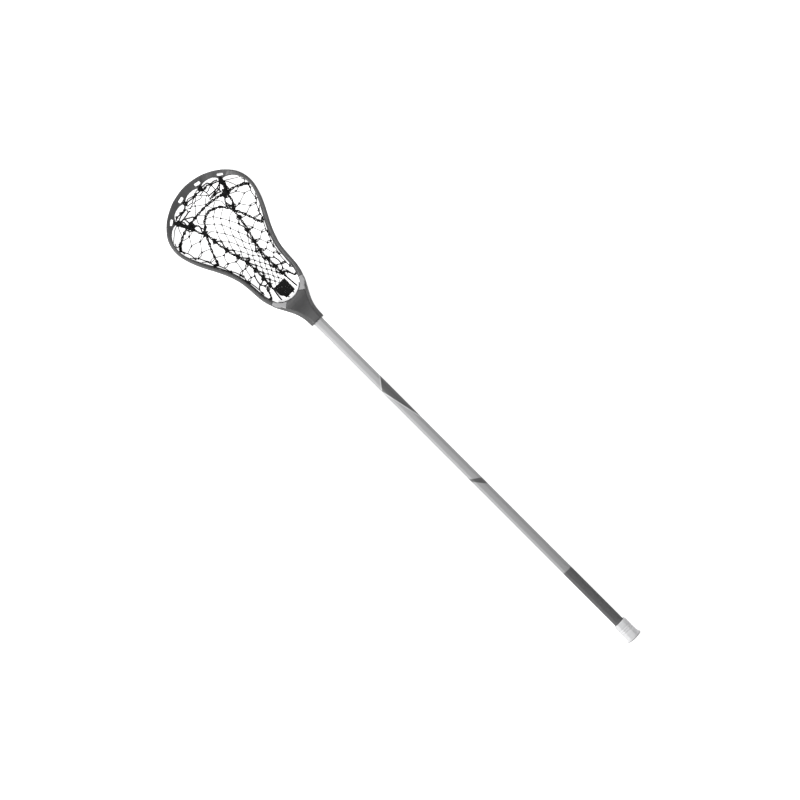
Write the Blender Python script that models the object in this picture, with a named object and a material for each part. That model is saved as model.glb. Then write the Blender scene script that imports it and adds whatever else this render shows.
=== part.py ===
"""Women's field lacrosse stick: a moulded head, a strung pocket, a hollow eight-sided shaft and a butt cap.

The stick lies on its back. +X runs along the shaft towards the head's tip, +Z is up, out of the face that
catches the ball, and z = 0 is the surface that the stick lies on. The origin is under the middle of the stick.

Inside the functions every size is in millimetres. A place on the stick is (h, side, z): h is the distance back
from the head's tip, side is the distance from the middle plane, +Y positive, and z is the height. place()
turns it into Blender's metres.
"""

import math

import bmesh
import bpy
from mathutils import Matrix, Vector

MM = 0.001

# Overall sizes
LENGTH = 1092.0
HEAD_LENGTH = 322.4
GAP = 0.3  # left between pieces that touch on the real stick

# Shaft: an eight-sided tube
AXIS_Z = 15.2
SHAFT_WIDTH = 18.8
SHAFT_DEPTH = 21.6
SHAFT_FLAT = 8.6  # width of the front and back flats
SHAFT_SIDE_FLAT = 9.4
SHAFT_CORNER = 1.6
SHAFT_WALL = 1.7
SHAFT_START = 276.0  # h of the end inside the head's socket
SHAFT_END = 1088.5
SOCKET_START = 275.0

# Head ring: half of its outer outline, from the tip round to the ball stop, as (h, side)
OUTLINE = [(0, 0), (1.9, 18), (6.5, 36), (15.2, 54), (23.5, 66), (31, 73.8), (39, 80.6), (47, 85.4),
           (55, 88.3), (63, 89.9), (71, 90.4), (83, 89.1), (103, 83.2), (123, 74.2), (143, 63.6), (163, 54.5),
           (183, 48.2), (203, 45.6), (223, 44.5), (236, 42.6), (250, 38.2), (260, 31.4), (268, 21.4),
           (272.4, 10), (273.6, 0)]
# Width of the top rail by the distance round the outline, and inner reach of the bottom rail by h
TOP_BAND = [(0, 14.2), (22, 13.8), (36, 12.6), (47, 11), (58, 10.8), (70, 11), (80, 10.6), (90, 9),
            (100, 7.9), (110, 7.4), (122, 6.4), (296, 6.8), (346, 9.2)]
FOOT = [(0, 5.2), (62, 6), (80, 6.6), (107, 8.7), (124, 9.6), (148, 10.2), (172, 9.4), (206, 9), (226, 9.5),
        (246, 10.3), (262, 9.2)]
FOOT_WIDTH = 7.0
SCOOP_REACH = 125.0  # the scoop's wide band ends here, round the outline
TABS = [(21.8, 4.0, 9.6), (68.3, 5.4, 7.4)]  # a tongue: (distance round, extra width, depth of its slot)
TAB_SPREAD = 8.0
# Height of the top rail and of the bottom rail, by h
TOP_RAIL = [(0, 41), (40, 38), (130, 35), (200, 37.5), (240, 39.8), (258, 40.2), (266, 40.2), (274, 39.2)]
BOTTOM_RAIL = [(0, 31), (15, 24), (40, 13), (70, 5.5), (100, 1.5), (125, 0), (274, 0)]
SCOOP_DROP = 5.0  # how far the scoop's face falls from its lip to its inner edge
WEB_OUT = 2.0
WEB_THICK = 2.6
RING_STEPS = 112

# Openings in the head
SLOT_BAR = (10.6, 4.6)
SLOT_STEM = (3.8, 3.6)
WINDOWS = 5
WINDOW_FROM = 127.5
WINDOW_TO = 301.5
WINDOW_STRUT = 8.0
WINDOW_LEAN = 5.0
HOLES = 10
HOLE_FROM = 103.9
HOLE_PITCH = 22.3
HOLE_RADIUS = 1.5
HOLE_HEIGHT = 3.2
STOP_HOLES = [math.radians(a) for a in (-37, -10, 10, 37)]  # blind string holes, about the opening's centre
STOP_HOLE_Z = 6.8
STOP_HOLE_DEPTH = 7.0

# Opening at the ball stop, and the foam pad on it
STOP_CENTRE = 231.5
STOP_RADIUS = 33.0
PAD_THICK = 3.2
PAD_LOW = 12.0
PAD_HIGH = 36.0
PAD_REACH = 325.0  # it starts and ends at this distance round the outline
PAD_EVERY = 10

# Throat: (h, half width, half width of the front flat, top height)
THROAT = [(240, 39, 34.6, 39.2), (252, 37.6, 32.5, 39.6), (260, 33.8, 28, 40.2), (267, 30, 24, 40.7),
          (275, 25.6, 19.6, 39.8), (288, 19.2, 13, 35.4), (301, 15.4, 9.3, 32), (311, 14.2, 8, 30.8),
          (HEAD_LENGTH, 13.8, 7.6, 30.4)]
THROAT_STEP = 6.0
THROAT_LOW = 0.4
THROAT_CHAMFER = 6.5

# Pale inlays let into the top rail at both ends of the ball stop, as arcs about STOP_CENTRE.
# They widen towards the throat, where they end on a slanted line.
INLAY_INNER = 34.2
INLAY_OUTER = (45.5, 40.8)
INLAY_FIRST = (math.radians(24), math.radians(31))  # inner and outer corner at the throat
INLAY_LAST = math.radians(65)
INLAY_STEPS = 8
INLAY_FLOOR = 38.4

# Screw through the back of the collar into the shaft
SCREW_H = 302.0
SCREW_RADIUS = 2.0
SCREW_HEAD_RADIUS = 3.6
SCREW_HEAD_THICK = 2.2
SCREW_LENGTH = 9.5
SCREW_RECESS = 2.9

# Butt cap
CAP_START = 1054.0
CAP_LENGTH = LENGTH - CAP_START
CAP_FLANGE = 3.6
CAP_BODY_WIDTH = 25.4
CAP_FLANGE_RADIUS = AXIS_Z

# Pocket: heights of the net along the middle, by h, and the runners' path as (h, side)
CHANNEL = [(20, 33.5), (45, 25), (80, 15), (120, 8.5), (160, 4.9), (200, 4.4), (235, 5.4), (258, 8)]
RUNNER = [(38, 50), (46, 48), (56, 42.4), (66, 38.3), (78, 34), (88, 31.6), (100, 29.4), (112, 28),
          (125, 25.4), (136, 22.6), (147, 19.4), (163, 16.2), (184, 15), (205, 14.7), (224, 15)]
STRAIGHT_SHOOTER = [(65.5, 79), (60, 66), (56, 54), (52.5, 42), (50.2, 28), (48.8, 14), (48.2, 0)]
U_SHOOTER = [(133.6, 53), (124, 49.5), (113, 45.3), (103, 41.3), (94, 37), (85, 32.6), (77, 28.3), (70, 22.7),
             (63.5, 14.5), (59.5, 6), (58.5, 0)]
TOP_STRING = [(35.8, 52.8, 31.4), (31, 46.5, 31.4), (28.2, 38, 31.6), (26, 29, 32.2), (23, 19.4, 33),
              (22.4, 10, 33), (22.2, 0, 33)]
SIDE_STRING_FROM = 72.0
SIDE_STRING_TO = 222.0
SIDE_STRING_IN = 2.4  # from the bottom rail to the string along it
RUNNER_RADIUS = 2.0
SHOOTER_RADIUS = 1.8
STRING_RADIUS = 0.8
LACE_RADIUS = 1.35
MESH_THICK = 1.4
MESH_COLUMNS = 4
MESH_LEVELS = [228, 220.5, 212.5, 204.5, 196.5, 188, 180, 171.5, 163, 155.5, 144, 132, 117.5, 103.5, 91,
               79.5, 69, 58, 47, 36, 27.5]
MESH_TOP_HALF = 33.0  # half width of its top edge, and how fast it widens from there
MESH_FLARE = 0.75
WING_ROWS = 9
WING_FROM = 76.0
WING_TO = 218.0
WEAVE = (230.0, 254.5, 12.8)  # from h, to h, half width
WEAVE_THICK = 2.0
LASHING_RADIUS = 1.1
LASHING_IN = 3.8  # from a slot's middle to where its lashing goes through it
LASHING_REACH = 9.2
LASHING_RISE = 5.0


def place(h, side, z):
    return Vector(((LENGTH / 2 - h) * MM, side * MM, z * MM))


def smooth(table, x):
    """The value at x of a smooth curve through the table's (x, value) pairs, level beyond its ends."""
    if x <= table[0][0]:
        return table[0][1]
    if x >= table[-1][0]:
        return table[-1][1]
    i = max(k for k in range(len(table) - 1) if table[k][0] <= x)

    def slope(k):
        a, b = max(k - 1, 0), min(k + 1, len(table) - 1)
        return (table[b][1] - table[a][1]) / (table[b][0] - table[a][0])

    (x0, y0), (x1, y1) = table[i], table[i + 1]
    span = x1 - x0
    t = (x - x0) / span
    return (
        (2 * t**3 - 3 * t**2 + 1) * y0
        + (t**3 - 2 * t**2 + t) * span * slope(i)
        + (3 * t**2 - 2 * t**3) * y1
        + (t**3 - t**2) * span * slope(i + 1)
    )


def catmull(points, per_span, closed=False):
    """Points along a smooth curve through the given ones (tuples of any length)."""
    n = len(points)
    made = []
    for i in range(n if closed else n - 1):
        quad = [points[(i + k) % n] if closed else points[min(max(i + k, 0), n - 1)] for k in (-1, 0, 1, 2)]
        for step in range(per_span):
            t = step / per_span
            shares = ((2 * t**2 - t - t**3) / 2, (3 * t**3 - 5 * t**2 + 2) / 2,
                      (4 * t**2 - 3 * t**3 + t) / 2, (t**3 - t**2) / 2)
            made.append(tuple(sum(s * value for s, value in zip(shares, column)) for column in zip(*quad)))
    if not closed:
        made.append(tuple(points[-1]))
    return made


def evenly(points, count):
    """count points at even distances along a closed line."""
    loop = [Vector(p) for p in points] + [Vector(points[0])]
    reach = [0.0]
    for a, b in zip(loop, loop[1:]):
        reach.append(reach[-1] + (b - a).length)
    made = []
    k = 0
    for i in range(count):
        at = reach[-1] * i / count
        while reach[k + 1] < at:
            k += 1
        made.append(loop[k].lerp(loop[k + 1], (at - reach[k]) / (reach[k + 1] - reach[k])))
    return made, reach[-1]


def mirrored(half):
    """A half line that ends on the middle plane, carried on to the other side."""
    return half + [(p[0], -p[1], *p[2:]) for p in reversed(half[:-1])]


# ---------------------------------------------------------------- Blender helpers

def clear_scene():
    for obj in list(bpy.data.objects):
        bpy.data.objects.remove(obj, do_unlink=True)


def material(name, grey, roughness, metallic=0.0):
    made = bpy.data.materials.get(name) or bpy.data.materials.new(name)
    made.use_nodes = True
    shader = made.node_tree.nodes["Principled BSDF"]
    shader.inputs["Base Color"].default_value = (grey, grey, grey, 1.0)
    shader.inputs["Roughness"].default_value = roughness
    shader.inputs["Metallic"].default_value = metallic
    return made


def finish(bm, name, look=None):
    """A bmesh as an object in the scene, with its faces pointing out."""
    bmesh.ops.recalc_face_normals(bm, faces=bm.faces)
    mesh = bpy.data.meshes.new(name)
    bm.to_mesh(mesh)
    bm.free()
    obj = bpy.data.objects.new(name, mesh)
    bpy.context.scene.collection.objects.link(obj)
    if look:
        mesh.materials.append(look)
        mesh.shade_smooth()
        mesh.set_sharp_from_angle(angle=math.radians(35))
    return obj


def loft(sections, around=False):
    """A bmesh skin over sections of equal point counts. It closes on itself, or is capped at both ends."""
    bm = bmesh.new()
    rows = [[bm.verts.new(p) for p in section] for section in sections]
    count = len(rows[0])
    for i in range(len(rows) if around else len(rows) - 1):
        a, b = rows[i], rows[(i + 1) % len(rows)]
        for k in range(count):
            bm.faces.new((a[k], a[(k + 1) % count], b[(k + 1) % count], b[k]))
    if not around:
        bm.faces.new(rows[0])
        bm.faces.new(rows[-1])
    return bm


def cutter(bm, name):
    obj = finish(bm, name)
    obj.hide_render = True
    obj.display_type = "WIRE"
    return obj


def boolean(obj, other, operation):
    change = obj.modifiers.new(operation.title(), "BOOLEAN")
    change.object = other
    change.operation = operation
    change.solver = "EXACT"


def apply_modifiers(obj):
    graph = bpy.context.evaluated_depsgraph_get()
    mesh = bpy.data.meshes.new_from_object(obj.evaluated_get(graph))
    obj.modifiers.clear()
    obj.data = mesh


def rounded(corners, radius, steps):
    """A closed outline with each corner replaced by an arc's points. Corners are 2-D vectors."""
    made = []
    n = len(corners)
    for i, corner in enumerate(corners):
        before = (corners[i - 1] - corner).normalized()
        after = (corners[(i + 1) % n] - corner).normalized()
        half = before.angle(after) / 2
        reach = radius / math.tan(half)
        centre = corner + (before + after).normalized() * (radius / math.sin(half))
        start = corner + before * reach - centre
        end = corner + after * reach - centre
        turn = start.angle_signed(end)
        for k in range(steps + 1):
            made.append(centre + Matrix.Rotation(-turn * k / steps, 2) @ start)
    return made


def cord(name, path, radius, look, sides=1):
    """A round cord along a path of (h, side, z) points. sides is the curve's bevel resolution."""
    data = bpy.data.curves.new(name, "CURVE")
    data.dimensions = "3D"
    data.bevel_depth = radius * MM
    data.bevel_resolution = sides
    data.use_fill_caps = True
    line = data.splines.new("POLY")
    line.points.add(len(path) - 1)
    for point, at in zip(line.points, path):
        point.co = (*place(*at), 1.0)
    data.materials.append(look)
    obj = bpy.data.objects.new(name, data)
    bpy.context.scene.collection.objects.link(obj)
    return obj


# ---------------------------------------------------------------- Shaft, screw and butt cap

def shaft_section(grow, steps=2):
    """The shaft's outline as (side, z) vectors about its axis, grown by a clearance or shrunk by a wall."""
    w, d = SHAFT_WIDTH / 2 + grow, SHAFT_DEPTH / 2 + grow
    f, s = SHAFT_FLAT / 2 + grow * 0.41, SHAFT_SIDE_FLAT / 2 + grow * 0.41
    corners = [Vector(c) for c in ((f, d), (w, s), (w, -s), (f, -d), (-f, -d), (-w, -s), (-w, s), (-f, d))]
    return rounded(corners, SHAFT_CORNER + max(grow, -1.0), steps)


def split_flats(outline, parts=3):
    """The same outline with its long edges cut into parts."""
    made = []
    for a, b in zip(outline, outline[1:] + outline[:1]):
        pieces = parts if (b - a).length > 3 else 1
        made += [a.lerp(b, k / pieces) for k in range(pieces)]
    return made


def ring_at(outline, h):
    return [place(h, p.x, AXIS_Z + p.y) for p in outline]


def tube(outer, inner, start, end):
    """A straight tube along the stick between two closed outlines, open at both ends."""
    bm = bmesh.new()
    rows = [[bm.verts.new(p) for p in ring_at(outline, h)]
            for outline, h in ((outer, start), (outer, end), (inner, end), (inner, start))]
    count = len(outer)
    for i in range(4):
        a, b = rows[i], rows[(i + 1) % 4]
        for k in range(count):
            bm.faces.new((a[k], a[(k + 1) % count], b[(k + 1) % count], b[k]))
    return bm


def screw_hole(radius, low, high, name):
    """An upright round cutter on the screw's axis."""
    bm = bmesh.new()
    at = place(SCREW_H, 0, (low + high) / 2)
    bmesh.ops.create_cone(bm, cap_ends=True, segments=16, radius1=radius * MM, radius2=radius * MM,
                          depth=(high - low) * MM, matrix=Matrix.Translation(at))
    return cutter(bm, name)


def make_shaft(look):
    obj = finish(tube(shaft_section(0), shaft_section(-SHAFT_WALL), SHAFT_START, SHAFT_END), "shaft", look)
    boolean(obj, screw_hole(SCREW_RADIUS + GAP, -2, AXIS_Z, "shaft_screw_cut"), "DIFFERENCE")


def make_screw(look):
    """A pan-head screw, pointing up, with a cross recess left out."""
    base = SCREW_RECESS - SCREW_HEAD_THICK
    profile = [(0, base), (SCREW_HEAD_RADIUS - 0.8, base), (SCREW_HEAD_RADIUS, base + 0.8),
               (SCREW_HEAD_RADIUS, SCREW_RECESS), (SCREW_RADIUS, SCREW_RECESS),
               (SCREW_RADIUS, base + SCREW_LENGTH - 1.2), (0, base + SCREW_LENGTH)]
    sides = 16
    rings = [[place(SCREW_H + r * math.cos(2 * math.pi * k / sides), r * math.sin(2 * math.pi * k / sides), z)
              for k in range(sides)] for r, z in profile[1:-1]]
    bm = loft(rings)
    return finish(bm, "throat_screw", look)


def make_cap(look):
    """The rubber cap: an eight-sided cup over the shaft's end that flares to a round flange."""
    cavity = split_flats(shaft_section(GAP))
    count = len(cavity)
    spread = CAP_BODY_WIDTH / SHAFT_WIDTH
    body = [p * spread for p in split_flats(shaft_section(0))]
    circle = [p.normalized() * CAP_FLANGE_RADIUS for p in body]
    neck = [a.lerp(b, 0.3) for a, b in zip(body, circle)]
    flange = LENGTH - CAP_FLANGE
    stations = [
        (cavity, SHAFT_END + GAP), (cavity, CAP_START), ([p * 0.965 for p in body], CAP_START),
        (body, CAP_START + 0.9), (body, CAP_START + CAP_LENGTH * 0.45), (neck, flange - 2.5),
        (circle, flange), (circle, LENGTH - 1.7), ([p * 0.95 for p in circle], LENGTH - 0.5),
        ([p * 0.86 for p in circle], LENGTH),
    ]
    bm = bmesh.new()
    rows = [[bm.verts.new(p) for p in ring_at(outline, h)] for outline, h in stations]
    for a, b in zip(rows, rows[1:]):
        for k in range(count):
            bm.faces.new((a[k], a[(k + 1) % count], b[(k + 1) % count], b[k]))
    bm.faces.new(rows[0])
    bm.faces.new(rows[-1])
    return finish(bm, "butt_cap", look)


# ---------------------------------------------------------------- Head

def head_loop(count):
    """Evenly spaced outline points with their distance round from the tip and inward normals."""
    half = OUTLINE
    whole = half + [(h, -side) for h, side in reversed(half[1:-1])]
    points, round_all = evenly(catmull(whole, 24, closed=True), count)
    made = []
    for i, p in enumerate(points):
        along = (points[(i + 1) % count] - points[i - 1]).normalized()
        reach = min(i, count - i) * round_all / count
        made.append((p, reach, Vector((along.y, -along.x))))
    return made


def band_width(reach):
    tongues = sum(extra * math.exp(-((reach - at) / TAB_SPREAD) ** 2) for at, extra, _ in TABS)
    return smooth(TOP_BAND, reach) + tongues


def ring_profile(h, reach):
    """The ring's section as (distance in from the outline, z), from the top outer corner round."""
    top, low, band, foot = smooth(TOP_RAIL, h), smooth(BOTTOM_RAIL, h), band_width(reach), smooth(FOOT, h)
    rail = min(6.0, 0.27 * (top - low))
    drop = SCOOP_DROP * min(1.0, max(0.0, (band - 7.4) / 6.0)) if reach < SCOOP_REACH else 0.0
    outer = max(0.0, foot - FOOT_WIDTH)
    ease = 0.8
    web = (WEB_OUT + WEB_THICK, max(WEB_OUT + WEB_THICK, foot - 2.2))
    under, over = top - rail - 1.4, low + rail + 1.4
    return [
        (ease, top), (band - ease, top - drop), (band, top - drop - ease), (band, top - drop - rail * 0.7),
        (web[0], under), (web[1], over), (foot, low + rail - 0.4), (foot, low + ease), (foot - ease, low),
        (outer + ease, low), (outer, low + ease), (outer, low + rail - 0.4), (web[1] - WEB_THICK, over),
        (WEB_OUT, under), (0, top - rail), (0, top - ease),
    ]


def make_ring():
    sections = []
    for p, reach, inward in head_loop(RING_STEPS):
        profile = ring_profile(p.x, reach)
        sections.append([place(p.x + inward.x * d, p.y + inward.y * d, z) for d, z in profile])
    return loft(sections, around=True)


def throat_section(h, half, flat, top):
    """One eight-sided section of the throat: a front flat, long chamfers, upright sides and a plain back."""
    chamfer = THROAT_CHAMFER
    corners = [Vector(c) for c in (
        (flat, top), (half, top - chamfer), (half, THROAT_LOW + chamfer * 0.7),
        (half - chamfer * 0.6, THROAT_LOW), (-half + chamfer * 0.6, THROAT_LOW),
        (-half, THROAT_LOW + chamfer * 0.7), (-half, top - chamfer), (-flat, top),
    )]
    return [place(h, p.x, p.y) for p in rounded(corners, 1.4, 2)]


def make_throat():
    start, end = THROAT[0][0], THROAT[-1][0]
    count = round((end - start) / THROAT_STEP)
    sections = []
    for k in range(count + 1):
        h = start + (end - start) * k / count
        half, flat, top = (smooth([(row[0], row[c]) for row in THROAT], h) for c in (1, 2, 3))
        sections.append(throat_section(h, half, flat, top))
    return loft(sections)


def local_frame(loop, reach, side):
    """The outline point at that distance round on one side, with its inward and forward directions."""
    p, _, inward = min((q for q in loop if q[0].y * side > 0), key=lambda q: abs(q[1] - reach))
    return p, inward, Vector((inward.y, -inward.x))


def prism(outline, low, high):
    """An upright prism over a closed (h, side) outline."""
    return loft([[place(p.x, p.y, z) for p in outline] for z in (low, high)])


def slot_outline(p, inward, along, depth):
    """The T-shaped slot in a tongue of the scoop, its stem pointing into the head."""
    (bar, deep), (stem, reach) = SLOT_BAR, SLOT_STEM
    corners = [(-bar / 2, -deep / 2), (bar / 2, -deep / 2), (bar / 2, deep / 2), (stem / 2, deep / 2),
               (stem / 2, deep / 2 + reach), (-stem / 2, deep / 2 + reach), (-stem / 2, deep / 2),
               (-bar / 2, deep / 2)]
    centre = p + inward * depth
    return [centre + along * a + inward * d for a, d in corners]


def window_prism(loop, reach, length, side):
    """A leaning, round-cornered window through the side wall between the two rails."""
    p, inward, along = local_frame(loop, reach, side)
    top, low = smooth(TOP_RAIL, p.x), smooth(BOTTOM_RAIL, p.x)
    z0, z1 = low + 9.0, top - 9.0
    half = length / 2
    lean = WINDOW_LEAN * side
    corners = [(-half - lean, z0), (half - lean, z0), (half + lean, z1), (-half + lean, z1)]
    outline = rounded([Vector(c) for c in corners], 3.0, 2)
    ends = []
    for d in (-2.0, 13.0):
        base = p + inward * d
        ends.append([place(base.x + along.x * q.x, base.y + along.y * q.x, q.y) for q in outline])
    return loft(ends)


def hole_prism(loop, reach, side):
    """A small round string hole through the bottom rail."""
    p, inward, along = local_frame(loop, reach, side)
    z = smooth(BOTTOM_RAIL, p.x) + HOLE_HEIGHT
    sides = 8
    ends = []
    for d in (-2.0, 13.0):
        base = p + inward * d
        ring = []
        for k in range(sides):
            turn = 2 * math.pi * (k + 0.5) / sides
            at = base + along * HOLE_RADIUS * math.cos(turn)
            ring.append(place(at.x, at.y, z + HOLE_RADIUS * math.sin(turn)))
        ends.append(ring)
    return loft(ends)


def stop_hole_prism(turn):
    """A blind round hole in the wall of the ball stop, pointing away from the opening's centre."""
    out = Vector((math.cos(turn), math.sin(turn)))
    along = Vector((-out.y, out.x))
    sides = 8
    ends = []
    for r in (STOP_RADIUS - 2, STOP_RADIUS + STOP_HOLE_DEPTH):
        ring = []
        for k in range(sides):
            roll = 2 * math.pi * (k + 0.5) / sides
            at = out * r + along * HOLE_RADIUS * math.cos(roll)
            ring.append(place(STOP_CENTRE + at.x, at.y, STOP_HOLE_Z + HOLE_RADIUS * math.sin(roll)))
        ends.append(ring)
    return loft(ends)


def gather(meshes, name):
    """Several closed bmeshes that don't touch, as one hidden cutter."""
    whole = bmesh.new()
    for bm in meshes:
        bmesh.ops.recalc_face_normals(bm, faces=bm.faces)
        mesh = bpy.data.meshes.new("piece")
        bm.to_mesh(mesh)
        bm.free()
        whole.from_mesh(mesh)
        bpy.data.meshes.remove(mesh)
    return cutter(whole, name)


def inlay_prism(side, shrink, floor):
    """The upright block that an inlay fills, or with no shrink the pocket cut for it."""
    near = INLAY_INNER + shrink
    last = INLAY_LAST - shrink / near
    inner, outer = [], []
    for k in range(INLAY_STEPS + 1):
        share = k / INLAY_STEPS
        starts = [first + shrink / near for first in INLAY_FIRST]
        inner.append((near, starts[0] + (last - starts[0]) * share))
        far = INLAY_OUTER[0] + (INLAY_OUTER[1] - INLAY_OUTER[0]) * share - shrink
        outer.append((far, starts[1] + (last - starts[1]) * share))
    outline = inner + outer[::-1]
    corners = [Vector((STOP_CENTRE + r * math.cos(turn), side * r * math.sin(turn))) for r, turn in outline]
    return prism(corners, floor, 50)


def make_head(look, inlay_look):
    """The moulded head: scoop, side walls and ball stop as one ring, and the throat with its socket."""
    loop = head_loop(RING_STEPS * 8)
    throat = finish(make_throat(), "throat_blank")
    throat.hide_render = True
    opening = bmesh.new()
    bmesh.ops.create_cone(opening, cap_ends=True, segments=64, radius1=(STOP_RADIUS + 0.7) * MM,
                          radius2=(STOP_RADIUS + 0.7) * MM, depth=0.2,
                          matrix=Matrix.Translation(place(STOP_CENTRE, 0, 20)))
    boolean(throat, cutter(opening, "opening_cut"), "DIFFERENCE")
    apply_modifiers(throat)

    head = finish(make_ring(), "head_frame", look)
    boolean(head, throat, "UNION")
    apply_modifiers(head)
    pockets = []
    for side, word in ((1, "left"), (-1, "right")):
        inlay = bpy.data.objects.new(f"corner_inlay_{word}", head.data.copy())
        bpy.context.scene.collection.objects.link(inlay)
        boolean(inlay, cutter(inlay_prism(side, GAP, INLAY_FLOOR + GAP), f"inlay_{word}_cut"), "INTERSECT")
        apply_modifiers(inlay)
        inlay.data.materials.clear()
        inlay.data.materials.append(inlay_look)
        pockets.append(inlay_prism(side, 0, INLAY_FLOOR))

    socket = loft([ring_at(shaft_section(GAP), h) for h in (SOCKET_START, HEAD_LENGTH + 5)])
    boolean(head, cutter(socket, "socket_cut"), "DIFFERENCE")
    boolean(head, screw_hole(SCREW_RADIUS + GAP, -2, 9, "screw_cut"), "DIFFERENCE")
    boolean(head, screw_hole(SCREW_HEAD_RADIUS + GAP, -2, SCREW_RECESS + GAP, "recess_cut"), "DIFFERENCE")

    slots, windows, holes = [], [], []
    length = (WINDOW_TO - WINDOW_FROM) / WINDOWS
    for side in (1, -1):
        for reach, _, depth in TABS:
            slots.append(prism(slot_outline(*local_frame(loop, reach, side), depth), 10, 60))
        for k in range(WINDOWS):
            middle = WINDOW_FROM + length * (k + 0.5)
            windows.append(window_prism(loop, middle, length - WINDOW_STRUT, side))
        for k in range(HOLES):
            holes.append(hole_prism(loop, HOLE_FROM + HOLE_PITCH * k, side))
    holes += [stop_hole_prism(turn) for turn in STOP_HOLES]
    for meshes, name in ((pockets, "inlay_pockets"), (slots, "slot_cuts"), (windows, "window_cuts"),
                         (holes, "hole_cuts")):
        boolean(head, gather(meshes, name), "DIFFERENCE")
    return loop


def make_pad(loop, look):
    """The foam ball stop: a curved strip on the wall at the throat end of the opening."""
    lining = [q for q in loop if q[1] > PAD_REACH][::PAD_EVERY]
    sections = []
    for p, reach, inward in lining:
        wall = max(band_width(reach), smooth(FOOT, p.x)) + GAP
        sections.append([place(p.x + inward.x * d, p.y + inward.y * d, z)
                         for d, z in ((wall, PAD_LOW), (wall, PAD_HIGH), (wall + PAD_THICK, PAD_HIGH - 1),
                                      (wall + PAD_THICK, PAD_LOW + 1))])
    return finish(loft(sections), "ball_stop_pad", look)


# ---------------------------------------------------------------- Pocket

def inner_side(h):
    """Half width of the opening between the bottom rails, beyond the scoop, with room for the ring's turn."""
    return smooth(OUTLINE[7:], h) - smooth(FOOT, h) * 1.12


def pocket_z(h, side):
    """Height of the pocket's net: a channel along the middle that rises to the side walls' string holes."""
    middle = smooth(CHANNEL, h)
    wall = smooth(BOTTOM_RAIL, h) + HOLE_HEIGHT + 2.4
    share = min(1.0, abs(side) / max(inner_side(max(h, 62)), 1.0))
    return middle + (wall - middle) * share**2


def on_pocket(points, lift=0.0):
    return [(h, side, pocket_z(h, side) + lift) for h, side in points]


def net(name, rows, faces, look):
    """A net of square cords: one cord along each edge of the given faces."""
    bm = bmesh.new()
    verts = [bm.verts.new(place(h, side, pocket_z(h, side))) for h, side in rows]
    for face in faces:
        bm.faces.new([verts[i] for i in face])
    obj = finish(bm, name, look)
    wire = obj.modifiers.new("Wireframe", "WIREFRAME")
    wire.thickness = MESH_THICK * MM
    wire.offset = 0
    wire.use_boundary = True
    wire.use_replace = True
    wire.use_even_offset = False
    return obj


def make_channel(look):
    """The diamond mesh between the two runners."""
    edge_gap = RUNNER_RADIUS + GAP + MESH_THICK
    half = MESH_COLUMNS // 2
    index, points = {}, []

    def corner(i, j):
        key = (i, j)
        if key not in index:
            h = MESH_LEVELS[j]
            index[key] = len(points)
            flared = MESH_TOP_HALF + (h - MESH_LEVELS[-1]) * MESH_FLARE
            wide = min(smooth(RUNNER, h) - edge_gap, flared)
            points.append((h, i / half * wide))
        return index[key]

    last = len(MESH_LEVELS) - 1
    faces = []
    for j in range(last + 1):
        for i in range(-half, half + 1):
            if (i + j) % 2:
                continue
            around = [(i - 1, j), (i, j + 1), (i + 1, j), (i, j - 1)]
            inside = [(a, b) for a, b in around if abs(a) <= half and 0 <= b <= last]
            if len(inside) == 4:
                faces.append([corner(a, b) for a, b in around])
            elif len(inside) == 3:
                faces.append([corner(a, b) for a, b in inside])
    return net("channel_mesh", points, faces, look)


def make_wing(side, name, look):
    """The large-celled side net between a runner and the side wall."""
    inner_gap = RUNNER_RADIUS + GAP + MESH_THICK
    outer_gap = SIDE_STRING_IN + STRING_RADIUS + GAP + MESH_THICK
    points = []
    for k in range(WING_ROWS + 1):
        h = WING_FROM + (WING_TO - WING_FROM) * k / WING_ROWS
        near = smooth(RUNNER, h) + inner_gap
        far = inner_side(h) - outer_gap
        middle = near + (far - near) * (0.42 if k % 2 else 0.58)
        points += [(h, side * near), (h + 2.5, side * middle), (h, side * far)]
    faces = []
    for k in range(WING_ROWS):
        for c in (0, 1):
            a = 3 * k + c
            faces.append((a, a + 1, a + 4, a + 3))
    return net(name, points, faces, look)


def make_weave(look):
    """The dense woven patch that closes the channel at the ball stop."""
    start, end, half = WEAVE
    steps = 5
    sections = []
    for k in range(steps + 1):
        h = start + (end - start) * k / steps
        z = pocket_z(h, 0)
        low, high = z - WEAVE_THICK / 2, z + WEAVE_THICK / 2
        sections.append([place(h, a, b) for a, b in ((-half, low), (half, low), (half, high), (-half, high))])
    return finish(loft(sections), "pocket_weave", look)


def make_lashing(loop, reach, depth, side, name, look):
    """A cord ring through a top slot, round the tongue's edge and the top string."""
    p, inward, _ = local_frame(loop, reach, side)
    half = LASHING_REACH / 2
    middle = depth + LASHING_IN + half
    level = smooth(TOP_RAIL, p.x) - SCOOP_DROP - 2.2
    sides, steps = 6, 16
    rings = []
    for k in range(steps):
        turn = 2 * math.pi * k / steps
        across, up = math.cos(turn), math.sin(turn)
        ring = []
        for j in range(sides):
            roll = 2 * math.pi * j / sides
            out, beside = LASHING_RADIUS * math.cos(roll), LASHING_RADIUS * math.sin(roll)
            d = middle + (half + out) * across
            at = p + inward * d + Vector((-inward.y, inward.x)) * beside
            ring.append(place(at.x, at.y, level + (LASHING_RISE + out) * up))
        rings.append(ring)
    finish(loft(rings, around=True), name, look)


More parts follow.
